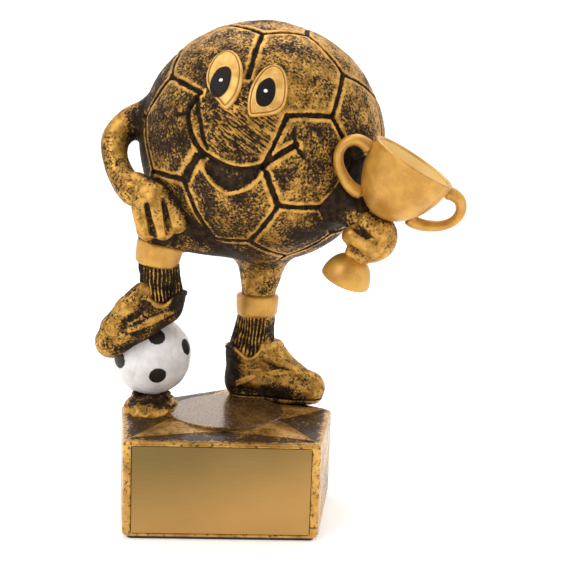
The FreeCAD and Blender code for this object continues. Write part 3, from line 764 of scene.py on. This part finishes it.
def make_eye(name, node, outline, pupil, glint, material):
    """A raised oval that follows the ball, with its pupil and glint marked for the paint."""
    around, rows, sunk = 96, 34, 0.8
    edge = closed_spline(outline, around // len(outline) + 1)
    centre = edge.mean(axis=0)
    shares = np.linspace(0, 1, rows) ** 0.8
    flat = np.vstack([centre + (edge - centre) * max(s, 0.001) for s in shares])
    rim = np.maximum(outline_gap(flat, edge), 0)
    pupil_gap = outline_gap(flat, closed_spline(pupil))
    height = 0.3 + 0.85 * np.sqrt(np.clip(1 - (1 - np.minimum(rim / 0.7, 1)) ** 2, 0, 1))
    height += 0.22 * smooth_step(pupil_gap, -0.15, 0.2) - 0.16 * ridge(rim, 0.85, 0.2)
    directions = toward(flat[:, 0], flat[:, 1])
    outward = unit_rows(directions / BALL_RADII)
    glint_gap = 0.45 - gap_to_line(directions, [toward(*glint), toward(glint[0] + 0.1, glint[1])])
    # The rings run from the middle out over the top and back to the middle, sunk into the ball.
    back = np.arange(len(flat)).reshape(rows, -1)[::-1].ravel()
    order = np.concatenate([np.arange(len(flat)), back])
    lift = np.concatenate([height, np.full(len(flat), -sunk)])
    near_rim = 0.55 - np.abs(rim - 0.8) * 1.6
    traits = {"pupil": pupil_gap[order], "glint": glint_gap[order], "rim": near_rim[order]}
    points = (BALL + directions * BALL_RADII)[order] + outward[order] * lift[:, None]
    return piece(name, points, rings(2 * rows, len(edge)), material, [node], traits)


# ---------------------------------------------------------------- arms, thighs and hands

def join_ball(clay, field, blend):
    """Flares a limb's field into the big ball and leaves the ball's own inside out."""
    ball = egg(clay, *BIG_BALL)
    flared = merge(field, ball, blend)
    shell = np.maximum(flared, -(ball + 0.9))
    return np.maximum(shell, field - 0.9 * blend)


def in_cup(across, back, up):
    """A place in the cup's own axes, from the middle of its rim, in mm."""
    return CUP_RIM + across * CUP_ACROSS + back * CUP_BACK + up * CUP_UP


# Places along each limb that grows out of the ball, and its radii there.
LIMBS = {
    "hip_arm": (places("hip_arm", (15, 8.5, 12), (7.6, 6.2, 11.0), (2.2, 4.6, 8.4), (-1.5, 2.6, 3.8),
                       (-1.9, 0.6, -1.0), (-0.3, -2.0, -5.6), (2.2, -4.6, -9.8), (5.4, -6.6, -12.6)),
                (5.2, 4.6, 4.4, 4.2, 3.9, 3.8, 4.1, 4.6)),
    "cup_arm": (places("cup_arm", (-10, 12, 9), (-4, 5.6, 5.0), (2.6, -1.2, 1.0)) + [in_cup(5.0, 2.6, -24.0)],
                (6.6, 5.8, 5.2, 5.0)),
    "raised_thigh": (places("raised_thigh", (-5.4, -0.9, -4.5), (-4.2, -0.8, -0.2), (8, 2.4, 1.8),
                            (20, 6, 3.2)),
                     (6.2, 7.0, 8.2, 9.5)),
    "standing_thigh": (places("standing_thigh", (-1.6, 0.8, -9.0), (-0.8, 0.4, 0.0), (-0.1, -0.4, 9.0)),
                       (5.6, 6.3, 8.0)),
}


def make_limb(name, node, low, high, flare, lump, seed, neighbours, material):
    """An arm or a thigh, in clay from low to high of its node's middle, that flares into the ball."""
    points, radii = LIMBS[node]
    if node.endswith("arm"):
        clay = Clay(near(node, *low), near(node, *high), 0.3)
        bar, finish = smooth_rope(clay, points, radii), ((0.05, lump), (0.015, 1.6))
    else:
        clay = Clay(near(node, *low), near(node, *high), 0.32)
        bar, finish = rope(clay, points, radii, 3.0), ((0.06, lump), (0.015, 1.7))
    clay.d = join_ball(clay, bar, flare)
    clay.roughen(seed, *finish)
    # Near these neighbours the paint darkens, with dark wash and painted shade.
    fields = [egg(clay, *shape) + gap for shape, gap in neighbours]
    return fired(clay, name, node, material, fields)


def make_hip_hand(material):
    """A broad mitt of a hand: three thick fingers side by side, pointing down."""
    node = "hip_hand"
    clay = Clay(near(node, -13, -10, -14), near(node, 14, 10, 14), 0.25)
    back = egg(clay, near(node, 0.9, -1.0, -0.3), (7.7, 5.0, 7.6))
    back = merge(back, limb(clay, *places(node, (-6.6, 2.0, 6.2), (-1.0, -0.2, 2.8)), 4.4, 5.0), 3.0)
    fingers = [((-3.6, -2.2, 0.0), (-2.6, -2.1, -6.3)), ((0.3, -2.7, 1.0), (2.2, -2.5, -6.1)),
               ((3.8, -2.4, 1.0), (6.0, -2.1, -4.0))]
    mitt = bars(clay, [(*places(node, *ends), 3.1, 3.0, 0.9) for ends in fingers])
    clay.d = merge(back, mitt, 1.6)
    for groove in (((-2.2, -5.7, 0.9), (0.0, -4.2, -9.4)), ((2.4, -6.1, 3.0), (4.5, -4.4, -8.6))):
        clay.cut(limb(clay, *places(node, *groove), 0.75, 1.15), 0.5)
    clay.roughen(31, (0.04, 7.0), (0.012, 1.4))
    # The hand darkens where it lies against the ball: dark wash and painted shade.
    return fired(clay, "hand_on_hip", node, material, [egg(clay, *BIG_BALL) - 1.0])


def make_cup_hand(material):
    """A plump fist round the stem: two broad fingers and a sliver of a third, with deep grooves between."""
    centre = middle("cup_hand")
    clay = Clay(centre - (13, 12, 13), centre + (13, 12, 13), 0.25)
    fist = egg(clay, in_cup(2.9, 0.6, -24.4), (6.8, 5.8, 7.4), CUP_AXES)
    fingers = []
    for up, radius, left in ((-20.6, 3.0, -1.4), (-26.4, 3.2, -2.6), (-30.6, 1.8, -0.4)):
        fingers.append((in_cup(3.2, -2.0, up + 0.1), in_cup(left, -2.0, up), radius, radius - 0.2, 0.6))
    clay.d = merge(fist, bars(clay, fingers), 1.8)
    for left, right, low in ((-6.0, 3.8, -23.4), (-4.6, 4.6, -29.4)):
        between = in_cup((left + right) / 2, -5.0, low + 0.2)
        groove = [in_cup(left, -1.6, low), between, in_cup(right, -5.6, low)]
        clay.cut(rope(clay, groove, (1.0, 1.2, 0.7), 0.3), 0.5)
    clay.roughen(41, (0.04, 7.0), (0.012, 1.4))
    # The fist darkens near the ball and the bowl: dark wash and painted shade.
    return fired(clay, "hand_round_cup", "cup_hand", material, [egg(clay, *BIG_BALL), egg(clay, *BOWL)])


# ---------------------------------------------------------------- the cup

def ovals(name, node, rows, material, around, traits):
    """A piece whose skin is a row of ovals, each given by its middle and its two half axes."""
    angles = np.linspace(0, 2 * np.pi, around, endpoint=False)
    points = [place + np.outer(np.cos(angles), a) + np.outer(np.sin(angles), b) for place, a, b in rows]
    return piece(name, np.vstack(points), rings(len(rows), around), material, [node],
                 traits)


def lathe(name, node, profile, material, origin=CUP_RIM, axes=CUP_AXES, inside=()):
    """Turns a profile of (radius, up) points about the last of three axes, from an origin. The trait inside
    is 1 on the profile's points with these numbers."""
    turns = 128
    rows = [(origin + up * axes[2], radius * axes[0], radius * axes[1]) for radius, up in profile]
    marks = np.repeat(np.isin(np.arange(len(profile)), inside), turns)
    return ovals(name, node, rows, material, turns, {"inside": marks})


def make_cup(material):
    angles = np.linspace(0.03, np.pi / 2, 40)
    outer = [(CUP_RADIUS * np.sin(a), -CUP_DEPTH * np.cos(a) - 0.5) for a in angles]
    mouth, depth = CUP_RADIUS - CUP_WALL, CUP_DEPTH - 1.3
    inner = [(mouth * np.sin(a), -depth * np.cos(a) - 0.5) for a in angles[::-1]]
    lip = [(CUP_RADIUS + 0.15, -0.25), (CUP_RADIUS + 0.05, 0.05), (CUP_RADIUS - 0.4, 0.25),
           (CUP_RADIUS - 0.95, 0.1), (mouth, -0.4)]
    profile = outer + lip + inner
    # The bowl's inner faces are marked inside, where the paint puts a painted reflection.
    lathe("cup_bowl_shell", "cup_bowl", profile, material, inside=range(len(outer + lip), len(profile)))
    turn = np.radians(FOOT_TURN)
    foot_up = np.cos(turn) * CUP_UP - np.sin(turn) * CUP_ACROSS
    foot_across = np.cross(CUP_BACK, foot_up)
    foot = [(0.02, 3.6), (2.1, 3.6), (2.3, 1.4), (3.1, 0.2), (4.4, -0.7), (5.6, -2.0), (6.5, -3.6),
            (7.1, -5.4), (7.3, -6.8), (7.1, -7.3), (6.3, -7.5), (3.0, -7.3), (0.02, -7.2)]
    lathe("cup_bell_foot", "cup_foot", spline(foot, 4), material, in_cup(*FOOT_TOP),
          (foot_across, CUP_BACK, foot_up))
    stem = [(0.02, -17.1), (2.5, -17.1), (2.4, -18.0), (2.2, -19.5), (2.2, -24.0), (2.2, -29.4),
            (0.02, -29.5)]
    lathe("cup_stem_turned", "cup_stem", spline(stem, 4), material)


HANDLE_PATH = [(11.6, -2.7), (13.6, -1.9), (16.4, -2.2), (18.4, -4.4), (18.6, -7.4), (16.8, -10.4),
               (13.4, -12.8), (9.8, -14.0)]
HANDLE_END = (7.4, -13.7)
HANDLE_DEPTH = 1.2       # times as thick towards the back as it is wide
WALL_SLOPE = 0.6         # how far the wall comes in for each mm down, at the handles' lower ends


def make_handle(side, drop, node, material):
    """An ear-shaped handle on one side of the cup, drop mm down it: side is -1 or 1. Both ends narrow into
    the bowl's wall."""
    end = (HANDLE_END[0] - WALL_SLOPE * drop, HANDLE_END[1])
    path = np.array([in_cup(side * across, 0, up - drop) for across, up in spline(HANDLE_PATH + [end], 8)])
    row = np.arange(len(path))
    radii = 1.6 + 0.25 * np.cos(2 * np.pi * row / row[-1])
    radii = radii * (0.3 + 0.7 * smooth_step(np.minimum(row, row[::-1]), -1, 3))
    thick = CUP_BACK * HANDLE_DEPTH
    rows = []
    for place, tangent, radius in zip(path, unit_rows(np.gradient(path, axis=0)), radii):
        rows.append((place, unit(np.cross(tangent, CUP_BACK)) * radius, thick * radius))
    return ovals(node + "_ear", node, rows, material, 24, {})


# ---------------------------------------------------------------- cuffs, socks and boots

def round_bar(clay, foot, up):
    """The grid's distance from an axis through foot towards up, its place along it, and its coordinates
    to the right and to the back."""
    across = unit(np.cross((0, 1, 0), up))
    p = turned(clay, foot, (across, np.cross(up, across), up))
    return np.sqrt(p[0] ** 2 + p[1] ** 2), p[2], p[0], p[1]


def make_cuff(name, node, lean, flare, seed, material):
    """A turned-over sock top: a plump band, flare mm wider at its top than at its foot, with soft edges."""
    tall, edge = 3.6, 1.0
    centre, sides = middle(node), half(node)
    clay = Clay(centre - sides - 2.5, centre + sides + 2.5, 0.22)
    out, along, _, _ = round_bar(clay, centre, unit(lean))
    radius = sides[1] + flare * along / tall / 2 - 0.12 * (along / tall) ** 2
    wall = out - radius + edge
    ends = np.abs(along + 0.2 * ripples(clay, 15, seed)) - tall + edge
    corner = np.sqrt(np.maximum(wall, 0) ** 2 + np.maximum(ends, 0) ** 2)
    clay.d = corner + np.minimum(np.maximum(wall, ends), 0) - edge
    clay.roughen(seed + 1, (0.05, 6.0), (0.015, 1.2))
    return fired(clay, name, node, material)


def make_sock(name, node, head, foot, radii, ribs, bare, heel, seed, material):
    """A ribbed sock from head to foot, plain where it is more than bare mm to the right of its middle. Its
    plain heel is a bar given by two places and two radii, which the paint darkens as painted shade."""
    clay = Clay(np.minimum(head, foot) - 9.5, np.maximum(head, foot) + 9.5, 0.24)
    out, along, right, back = round_bar(clay, foot, unit(head - foot))
    length = np.linalg.norm(head - foot)
    share = np.clip(along / length, 0, 1)
    angle = np.arctan2(back, right) + 0.05 * ripples(clay, 9, seed)
    rib = 0.36 * np.cos(ribs * angle) * (1 - smooth_step(right, bare, bare + 1.4))
    rib = rib + 0.12 * ripples(clay, 3.0, seed + 1)
    folds = 0.3 * ripples(clay, 4.0, seed + 2) * smooth_step(share, 0.75, 0.4)
    radius = radii[0] + (radii[1] - radii[0]) * share
    wall = out - (radius + (rib + folds) * smooth_step(share, 0.1, 0.3))
    clay.d = np.maximum(wall, np.abs(along - length / 2) - length / 2)
    heel_bar = limb(clay, *heel)
    clay.add(heel_bar, 0.8)
    # Painted shade: the sock darkens over its heel.
    return fired(clay, name, node, material, [heel_bar + 0.4])


def collar(clay, upper, lowest, curves, rises):
    """Opens a boot above its collar line and rolls the edge. From its lowest place the line climbs, with
    these curves, by at most these rises to the left and to the right."""
    curve = np.where(clay.x < lowest[0], *curves)
    rise = np.where(clay.x < lowest[0], *rises)
    level = lowest[2] + rise * np.tanh(curve * (clay.x - lowest[0]) ** 2 / rise)
    roll = np.maximum(np.abs(clay.z - level + 0.8) - 0.55, np.abs(upper) - 0.4)
    return merge(common(upper, clay.z - level, 0.8), roll, 0.5)


def leather(clay, node, rows):
    """Round bars between offsets from a node's middle, each with two radii and a fillet."""
    return bars(clay, [(*places(node, *row[:2]), *row[2:]) for row in rows])


def strip(clay, node, offsets, radii, blend=0.5):
    """A thin rope through offsets from a node's middle."""
    return rope(clay, places(node, *offsets), radii, blend)


def make_standing_boot(material):
    node = "standing_boot"
    clay = Clay(near(node, -20, -13, -11), near(node, 20, 13, 19), 0.28)
    ground = middle(node)[2] - half(node)[2] + 0.3
    upper = leather(clay, node, [((-7.4, 0.2, 14.0), (-8.8, 0.8, 6.5), 6.9, 7.5, 0),
                                 ((-8.8, 0.8, 6.5), (-9.4, 1.6, -2.6), 7.5, 6.9, 2),
                                 ((-9.4, 1.6, -3.0), (5.4, -1.8, -3.6), 6.6, 6.6, 3),
                                 ((5.4, -1.8, -3.6), (11.6, -3.4, -4.2), 6.6, 5.8, 3),
                                 ((-5.2, -0.4, 9.8), (3.6, -1.6, 0.6), 6.1, 5.4, 3)])
    upper = collar(clay, upper, near(node, -8.4, 0, 6.6), (0.19, 0.32), (3.0, 4.8))
    tongue = [(-2.9, -4.6, 12.6), (-3.9, -5.8, 10.2), (-2.4, -6.4, 7.2), (1.4, -6.6, 4.8), (6.4, -6.2, 2.6)]
    upper = merge(upper, strip(clay, node, tongue, (0.9, 1.5, 1.8, 1.6, 1.0), 0.6), 0.7)
    waist = [(-11.0, -5.4, -5.6), (-3.5, -7.6, -5.6), (2.0, -8.2, -7.0)]
    upper = common(upper, -strip(clay, node, waist, (1.6, 2.0, 1.2), 0.6), 2.0)
    welt = ground + 1.9
    sole = np.maximum(upper - 0.3, clay.z - welt)
    upper = np.maximum(upper, welt + 0.45 - clay.z)
    inner = np.maximum(upper + 0.7, np.abs(clay.z - welt) - 1.0)
    clay.d = merge(merge(upper, sole, 0.3), inner, 0.2)
    band = [(-12.6, -5.6, -2.6), (-5.4, -7.8, 0.6), (1.5, -7.8, 2.0), (7.0, -7.2, 1.8)]
    clay.add(np.maximum(strip(clay, node, band, (0.9, 1.2, 1.0, 0.6)), clay.d - 0.6), 0.3)
    clay.keep(ground - clay.z, 0.5)
    clay.roughen(81, (0.05, 6.0), (0.015, 1.5))
    # Painted shade: the boot darkens near the ground, at its heel and under its arch.
    floor = np.broadcast_to(clay.z - ground, clay.d.shape)
    heel = egg(clay, near(node, -14.5, -2, 3), (4.0, 9, 11))
    arch = egg(clay, near(node, 0.0, -8.5, -5.5), (5.0, 3, 2.0))
    return fired(clay, "standing_football_boot", node, material, [floor, heel + 2.4, arch])


def make_raised_boot(material):
    node = "raised_boot"
    clay = Clay(near(node, -19, -14, -17), near(node, 17, 13, 18), 0.28)
    upper = leather(clay, node, [((3.0, 0.8, 15.0), (4.6, 0.8, 11.5), 5.9, 6.1, 0),
                                 ((4.6, 0.8, 11.5), (5.4, 0.8, 7.4), 6.1, 6.3, 1),
                                 ((5.4, 0.8, 7.4), (4.8, 0.6, 3.0), 6.3, 6.1, 2),
                                 ((4.8, 0.6, 3.4), (-2.2, -1.0, -1.0), 6.1, 6.8, 3),
                                 ((-2.2, -1.0, -1.0), (-9.6, -2.6, -8.4), 6.8, 5.1, 3)])
    upper = collar(clay, upper, near(node, 6.0, 0, 4.0), (0.13, 0.3), (4.6, 3.4))
    lobe = [(-0.4, -3.6, 6.8), (-4.6, -4.8, 2.0), (-8.8, -5.0, -3.6), (-11.0, -4.4, -7.2)]
    clay.d = merge(upper, strip(clay, node, lobe, (3.3, 3.7, 3.6, 3.0), 0.8), 0.4)
    band = [(8.8, -4.8, 1.6), (3.2, -7.4, -1.2), (-3.4, -8.4, -3.8)]
    clay.add(np.maximum(strip(clay, node, band, (0.8, 1.2, 0.8)), clay.d - 0.6), 0.3)
    split = [(2.6, -7.4, 4.6), (-1.2, -8.4, 1.0), (-4.8, -8.8, -1.4), (-6.6, -8.6, -5.6)]
    clay.cut(strip(clay, node, split, (0.8, 1.1, 1.0, 0.5), 0.4), 0.6)
    ball = egg(clay, *SMALL_BALL)
    clay.cut(ball + 0.25, 0.4)
    clay.roughen(91, (0.05, 6.0), (0.015, 1.5))
    # Painted shade: the boot darkens where it rests on the small ball and at its heel.
    heel = egg(clay, near(node, 11.0, -1, 6), (3.2, 8, 8))
    return fired(clay, "raised_football_boot", node, material, [ball, heel + 1.8])


# ---------------------------------------------------------------- small ball, mound and base

SPOTS = [(16, 38), (71, 17), (17, -19), (-44, 0), (92, -44), (134, 65), (-162, 17), (135, 0), (-93, 46),
         (-108, -16), (-176, -45), (-44, -65)]
SPOT_RADIUS = 2.65


def make_small_ball(material):
    directions, faces = geodesic(60)
    centre, radius = SMALL_BALL[0], SMALL_BALL[1][0]
    spots = np.array([toward(*place) for place in SPOTS])
    gaps = np.sort(np.arccos(np.clip(directions @ spots.T, -1, 1)) * radius, axis=1)
    spot = SPOT_RADIUS - gaps[:, 0]
    seam = ridge(gaps[:, 1] - gaps[:, 0], 0, 0.9) * smooth_step(gaps[:, 0], 2.9, 3.6)
    uneven = lumps(*(directions * radius).T, 5.0, 11)
    height = 0.12 * smooth_step(spot, -0.2, 0.2) - 0.16 * seam + 0.05 * uneven
    return piece("small_football", centre + directions * (radius + height)[:, None], faces.tolist(), material,
                 ["small_ball"], {"spot": spot})


def make_mound(material):
    centre, sides = middle("turf_mound"), half("turf_mound")
    clay = Clay(centre - sides - 3, centre + sides + 4, 0.28)
    clay.d = egg(clay, centre + (0, 0, -3.0), (9.0, 11.6, 4.2))
    ledges = [((-0.4, 0.6, 0.8), (6.2, 7.0, 2.6), 0.8), ((4.4, -3.4, -0.6), (3.6, 3.0, 1.4), 0.5),
              ((-4.6, -2.6, -1.2), (3.6, 3.6, 1.5), 0.5)]
    for offset, radii, blend in ledges:
        clay.add(egg(clay, centre + offset, radii), blend)
    clay.roughen(101, (0.28, 5.0), (0.08, 1.8))
    clay.keep(centre[2] - sides[2] - 0.3 - clay.z, 0.1)
    ball = egg(clay, *SMALL_BALL)
    clay.cut(ball + 0.2, 0.4)
    # Painted shade: the turf darkens where the small ball sits on it.
    return fired(clay, "turf", "turf_mound", material, [ball])


# Corners of the base and tips of the star, front left first, as shares of half their boxes.
BASE_CORNERS = [(-0.808, -1.0), (0.808, -1.0), (1.011, 0.206), (0.0, 1.027), (-1.011, 0.206)]
STAR_TIPS = [(0.805, -1.0), (1.0, 0.147), (0.0, 1.0), (-1.0, 0.147), (-0.805, -1.0)]
STAR_NOTCH = 0.547
STAR_HEIGHTS = (1.0, 0.35, 0.1)      # mm above the base: beside the disc, at the tips and in the notches
FACET_WIDTH = 12


def in_box(node, share):
    """A place seen from above, as shares of half a CAD node's box from its middle, in mm."""
    return middle(node)[:2] + np.array(share) * half(node)[:2]


def five_sides(clay):
    """The distance outside the base's five-sided outline, with its upright edges rounded."""
    corners = [in_box("base_block", share) for share in BASE_CORNERS]
    field = None
    for (ax, ay), (bx, by) in zip(corners, corners[1:] + corners[:1]):
        nx, ny = by - ay, ax - bx
        side = ((clay.x - ax) * nx + (clay.y - ay) * ny) / np.hypot(nx, ny)
        field = side if field is None else common(field, side, 1.6)
    return field


def make_base(material):
    centre, sides = middle("base_block"), half("base_block")
    low, high = centre - sides, centre + sides
    clay = Clay(low - 1.6, high + 1.6, 0.42)
    walls = five_sides(clay)
    clay.d = common(walls, np.maximum(low[2] - clay.z, clay.z - high[2]), 1.3)
    clay.roughen(111, (0.012, 9.0))
    recess = half("name_plate") * (1, 0, 1) + (0.15, 0.72, 0.15)
    clay.cut(slab(clay, near("name_plate", 0, -0.2, 0), recess, 0.1), 0.15)
    top = np.maximum(high[2] - clay.z, walls + 2.0)
    return fired(clay, "base", "base_block", material, [top])


def make_star(material):
    """The low five-pointed star on the base: flat facets from raised ridges down to its outline."""
    top = middle("base_block")[2] + half("base_block")[2]
    centre = middle("centre_disc")[:2]
    seat = half("centre_disc")[0] + 0.05
    reach = STAR_NOTCH * half("star_relief")[0]
    tips = [in_box("star_relief", share) for share in STAR_TIPS]
    notches = [centre + unit((a + b) / 2 - centre) * reach for a, b in zip(tips, tips[1:] + tips[:1])]
    weights, cells = triangle_grid(20)
    points, faces = [], []
    for k, tip in enumerate(tips):
        for notch in (notches[k], notches[k - 1]):
            trio = np.array([centre + unit(tip - centre) * seat, tip, notch])
            trio = np.column_stack([trio, top + np.array(STAR_HEIGHTS)])
            flip = np.cross(trio[1] - trio[0], trio[2] - trio[0])[2] < 0
            faces.append((cells[:, ::-1] if flip else cells) + len(points) * len(weights))
            points.append(weights @ trio)
    to_rim, _, to_ridge = weights.T * FACET_WIDTH
    relief = np.tile(0.5 * ridge(to_ridge, 0, 1.1) + 0.4 * ridge(to_rim, 0, 0.8) - 0.1, len(points))
    points = np.vstack(points)
    first, faces = weld(points, np.vstack(faces), 3)
    points, relief = points[first], relief[first]
    count = len(points)
    sunk = points * (1, 1, 0) + (0, 0, top - 0.3)
    edges = {pair: True for a, b, c in faces for pair in ((a, b), (b, c), (c, a))}
    walls = [(b, a, a + count, b + count) for a, b in edges if (b, a) not in edges]
    every = faces.tolist() + (faces[:, ::-1] + count).tolist() + walls
    made = piece("star", np.vstack([points, sunk]), every, material, ["star_relief"],
                 {"relief": np.tile(relief, 2)})
    made.data.shade_flat()
    return made


def paint_node(node, material):
    """Gives a CAD node that stays its own material."""
    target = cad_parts[node]
    target.data.materials.clear()
    target.data.materials.append(material)


# ---------------------------------------------------------------- the studio

# Each light's name, place and size in metres, and power.
LIGHTS = [("key", (-0.45, -0.45, 0.55), 0.45, 2.0), ("fill", (0.55, -0.35, 0.30), 0.5, 0.8),
          ("top", (0.0, 0.15, 0.75), 0.6, 2.0)]
LIGHTS_AIM = np.array((0, 0, 0.09))


def make_paper():
    """A pale sweep of paper under and behind the trophy."""
    depth, radius, wide = 0.55, 0.25, 1.6
    angles = np.linspace(0.1, np.pi / 2, 14)
    bend = [(depth + radius * np.sin(a), radius - radius * np.cos(a)) for a in angles]
    profile = [(-1.0, 0.0), (depth, 0.0), *bend, (depth + radius, 1.6)]
    points = [(x, float(y), float(z)) for y, z in profile for x in (-wide, wide)]
    faces = [(2 * k, 2 * k + 1, 2 * k + 3, 2 * k + 2) for k in range(len(profile) - 1)]
    mesh = bpy.data.meshes.new("sweep")
    mesh.from_pydata(points, [], faces)
    mesh.shade_smooth()
    paper = Paint("paper", Roughness=0.9, Emission_Color=(1, 1, 1, 1), Emission_Strength=0.3)
    mesh.materials.append(paper.done(paper.mix(paper.noise(40.0), ink(246, 246, 246), ink(250, 250, 250))))
    put_in_scene("sweep", mesh)


def make_lights():
    """Soft lights, and a surround that is brighter behind the trophy than in front of it."""
    world = bpy.data.worlds.new("surround")
    world.use_nodes = True
    nodes, links = world.node_tree.nodes, world.node_tree.links
    split = nodes.new("ShaderNodeSeparateXYZ")
    fade = nodes.new("ShaderNodeMapRange")
    for key, value in zip((1, 2, 3, 4), (-1.0, 0.3, 0.35, 1.0)):
        fade.inputs[key].default_value = value
    links.new(nodes.new("ShaderNodeTexCoord").outputs["Generated"], split.inputs[0])
    links.new(split.outputs["Y"], fade.inputs[0])
    links.new(fade.outputs[0], nodes["Background"].inputs["Strength"])
    nodes["Background"].inputs["Color"].default_value = (1.0, 0.98, 0.96, 1)
    bpy.context.scene.world = world
    for name, place, size, power in LIGHTS:
        light = bpy.data.lights.new(name, "AREA")
        light.size = size
        light.energy = power
        lamp = put_in_scene(name, light)
        lamp.location = place
        lamp.rotation_mode = "QUATERNION"
        lamp.rotation_quaternion = Vector(unit(LIGHTS_AIM - place).tolist()).to_track_quat("-Z", "Y")
    bpy.context.scene.view_settings.view_transform = "Standard"


def make_camera():
    """Level with the ball's lower half, looking slightly down and to the right."""
    yaw, pitch, roll = np.radians((2.57, -6.25, 2.03))
    ahead = np.array((np.sin(yaw) * np.cos(pitch), np.cos(yaw) * np.cos(pitch), np.sin(pitch)))
    level = np.array((np.cos(yaw), -np.sin(yaw), 0.0))
    upright = np.cross(level, ahead)
    right = np.cos(roll) * level + np.sin(roll) * upright
    up = np.cos(roll) * upright - np.sin(roll) * level
    lens = bpy.data.cameras.new("camera")
    lens.sensor_width = 36
    lens.lens = 45.15
    camera = put_in_scene("camera", lens)
    turn = Matrix(np.array((right, up, -ahead)).T.tolist()).to_4x4()
    camera.matrix_world = Matrix.Translation((0.00619, -0.22038, 0.0951)) @ turn
    bpy.context.scene.camera = camera


limb_gold = antique_gold("antique_gold_limbs", 0.56)
shaded_gold = antique_gold("antique_gold_shaded", 0.40)
satin = satin_gold("satin_gold")
eye_paint = eye_gold("eye_gold")

make_ball(antique_gold("antique_gold", 0.47, patch=0.6, streaks=1.5))
make_eye("left_eye_oval", "left_eye", LEFT_EYE, LEFT_PUPIL, LEFT_GLINT, eye_paint)
make_eye("right_eye_oval", "right_eye", RIGHT_EYE, RIGHT_PUPIL, RIGHT_GLINT, eye_paint)
make_limb("arm_on_hip", "hip_arm", (-9, -13, -19), (17, 16, 18), 3.5, 9.0, 21, [(BIG_BALL, 0)], limb_gold)
make_hip_hand(antique_gold("antique_gold_hands", 0.61, patch=0.7))
make_limb("arm_with_cup", "cup_arm", (-20, -16, -18), (16, 20, 16), 4.0, 8.0, 51,
          [(BIG_BALL, -2.0), (BOWL, -1.0)], shaded_gold)
make_cup_hand(limb_gold)
make_cup(satin)
make_handle(-1, 1.3, "cup_handle_left", satin)
make_handle(1, 0, "cup_handle_right", satin)
make_limb("standing_leg_thigh", "standing_thigh", (-20, -18, -11), (20, 18, 22), 8.0, 9.0, 61,
          [(BIG_BALL, 1.0)], limb_gold)
make_limb("raised_leg_thigh", "raised_thigh", (-14, -14, -11), (32, 20, 14), 5.0, 9.0, 71,
          [(BIG_BALL, 0), (HIP_MITT, 0)], shaded_gold)
make_cuff("standing_cuff_band", "standing_sock_cuff", (0, 0, 1), 0.6, 121, satin)
make_cuff("raised_cuff_band", "raised_sock_cuff", (0.2, 0, 0.98), 1.0, 131, satin)
make_sock("standing_ribbed_sock", "standing_sock", near("standing_sock_cuff", 0, 0, -2.6),
          near("standing_boot", -8.0, 0.4, 2.4), (7.3, 6.1), 34, 2.6,
          (*places("standing_boot", (-9.2, 1.6, 8.0), (-7.6, 1.2, 15.0)), 6.5, 6.2), 141,
          antique_gold("sock_gold", 0.46, speckle=0.55, patch=0.36))
make_sock("raised_ribbed_sock", "raised_sock", near("raised_sock_cuff", 0.2, 0, -1.2),
          near("raised_boot", 5.0, 0.6, 1.0), (5.9, 5.8), 32, 8.0,
          (*places("raised_boot", (5.7, 2.4, 6.0), (3.5, 2.0, 14.4)), 5.7, 5.5), 151,
          antique_gold("sock_gold_shaded", 0.38, speckle=0.55, patch=0.36))
make_standing_boot(antique_gold("antique_gold_boots", 0.58))
make_raised_boot(antique_gold("antique_gold_raised_boot", 0.50))
make_small_ball(white_ball_paint("white_ball"))
make_mound(antique_gold("antique_gold_turf", 0.56, patch=0.9))
make_base(base_gold("base_gold", 0.62))
make_star(base_gold("star_gold", 0.67))
paint_node("centre_disc", disc_gold("disc_gold"))
paint_node("name_plate", plate_metal("brushed_plate"))
paint_node("plate_adhesive", adhesive("adhesive_film"))
paint_node("felt_pad", felt("dark_felt"))
steel = steel_rod("steel")
for rod in ("leg_rod", "small_ball_pin", "raised_leg_pin", "hip_arm_wire", "cup_arm_wire"):
    paint_node(rod, steel)
make_paper()
make_lights()
make_camera()
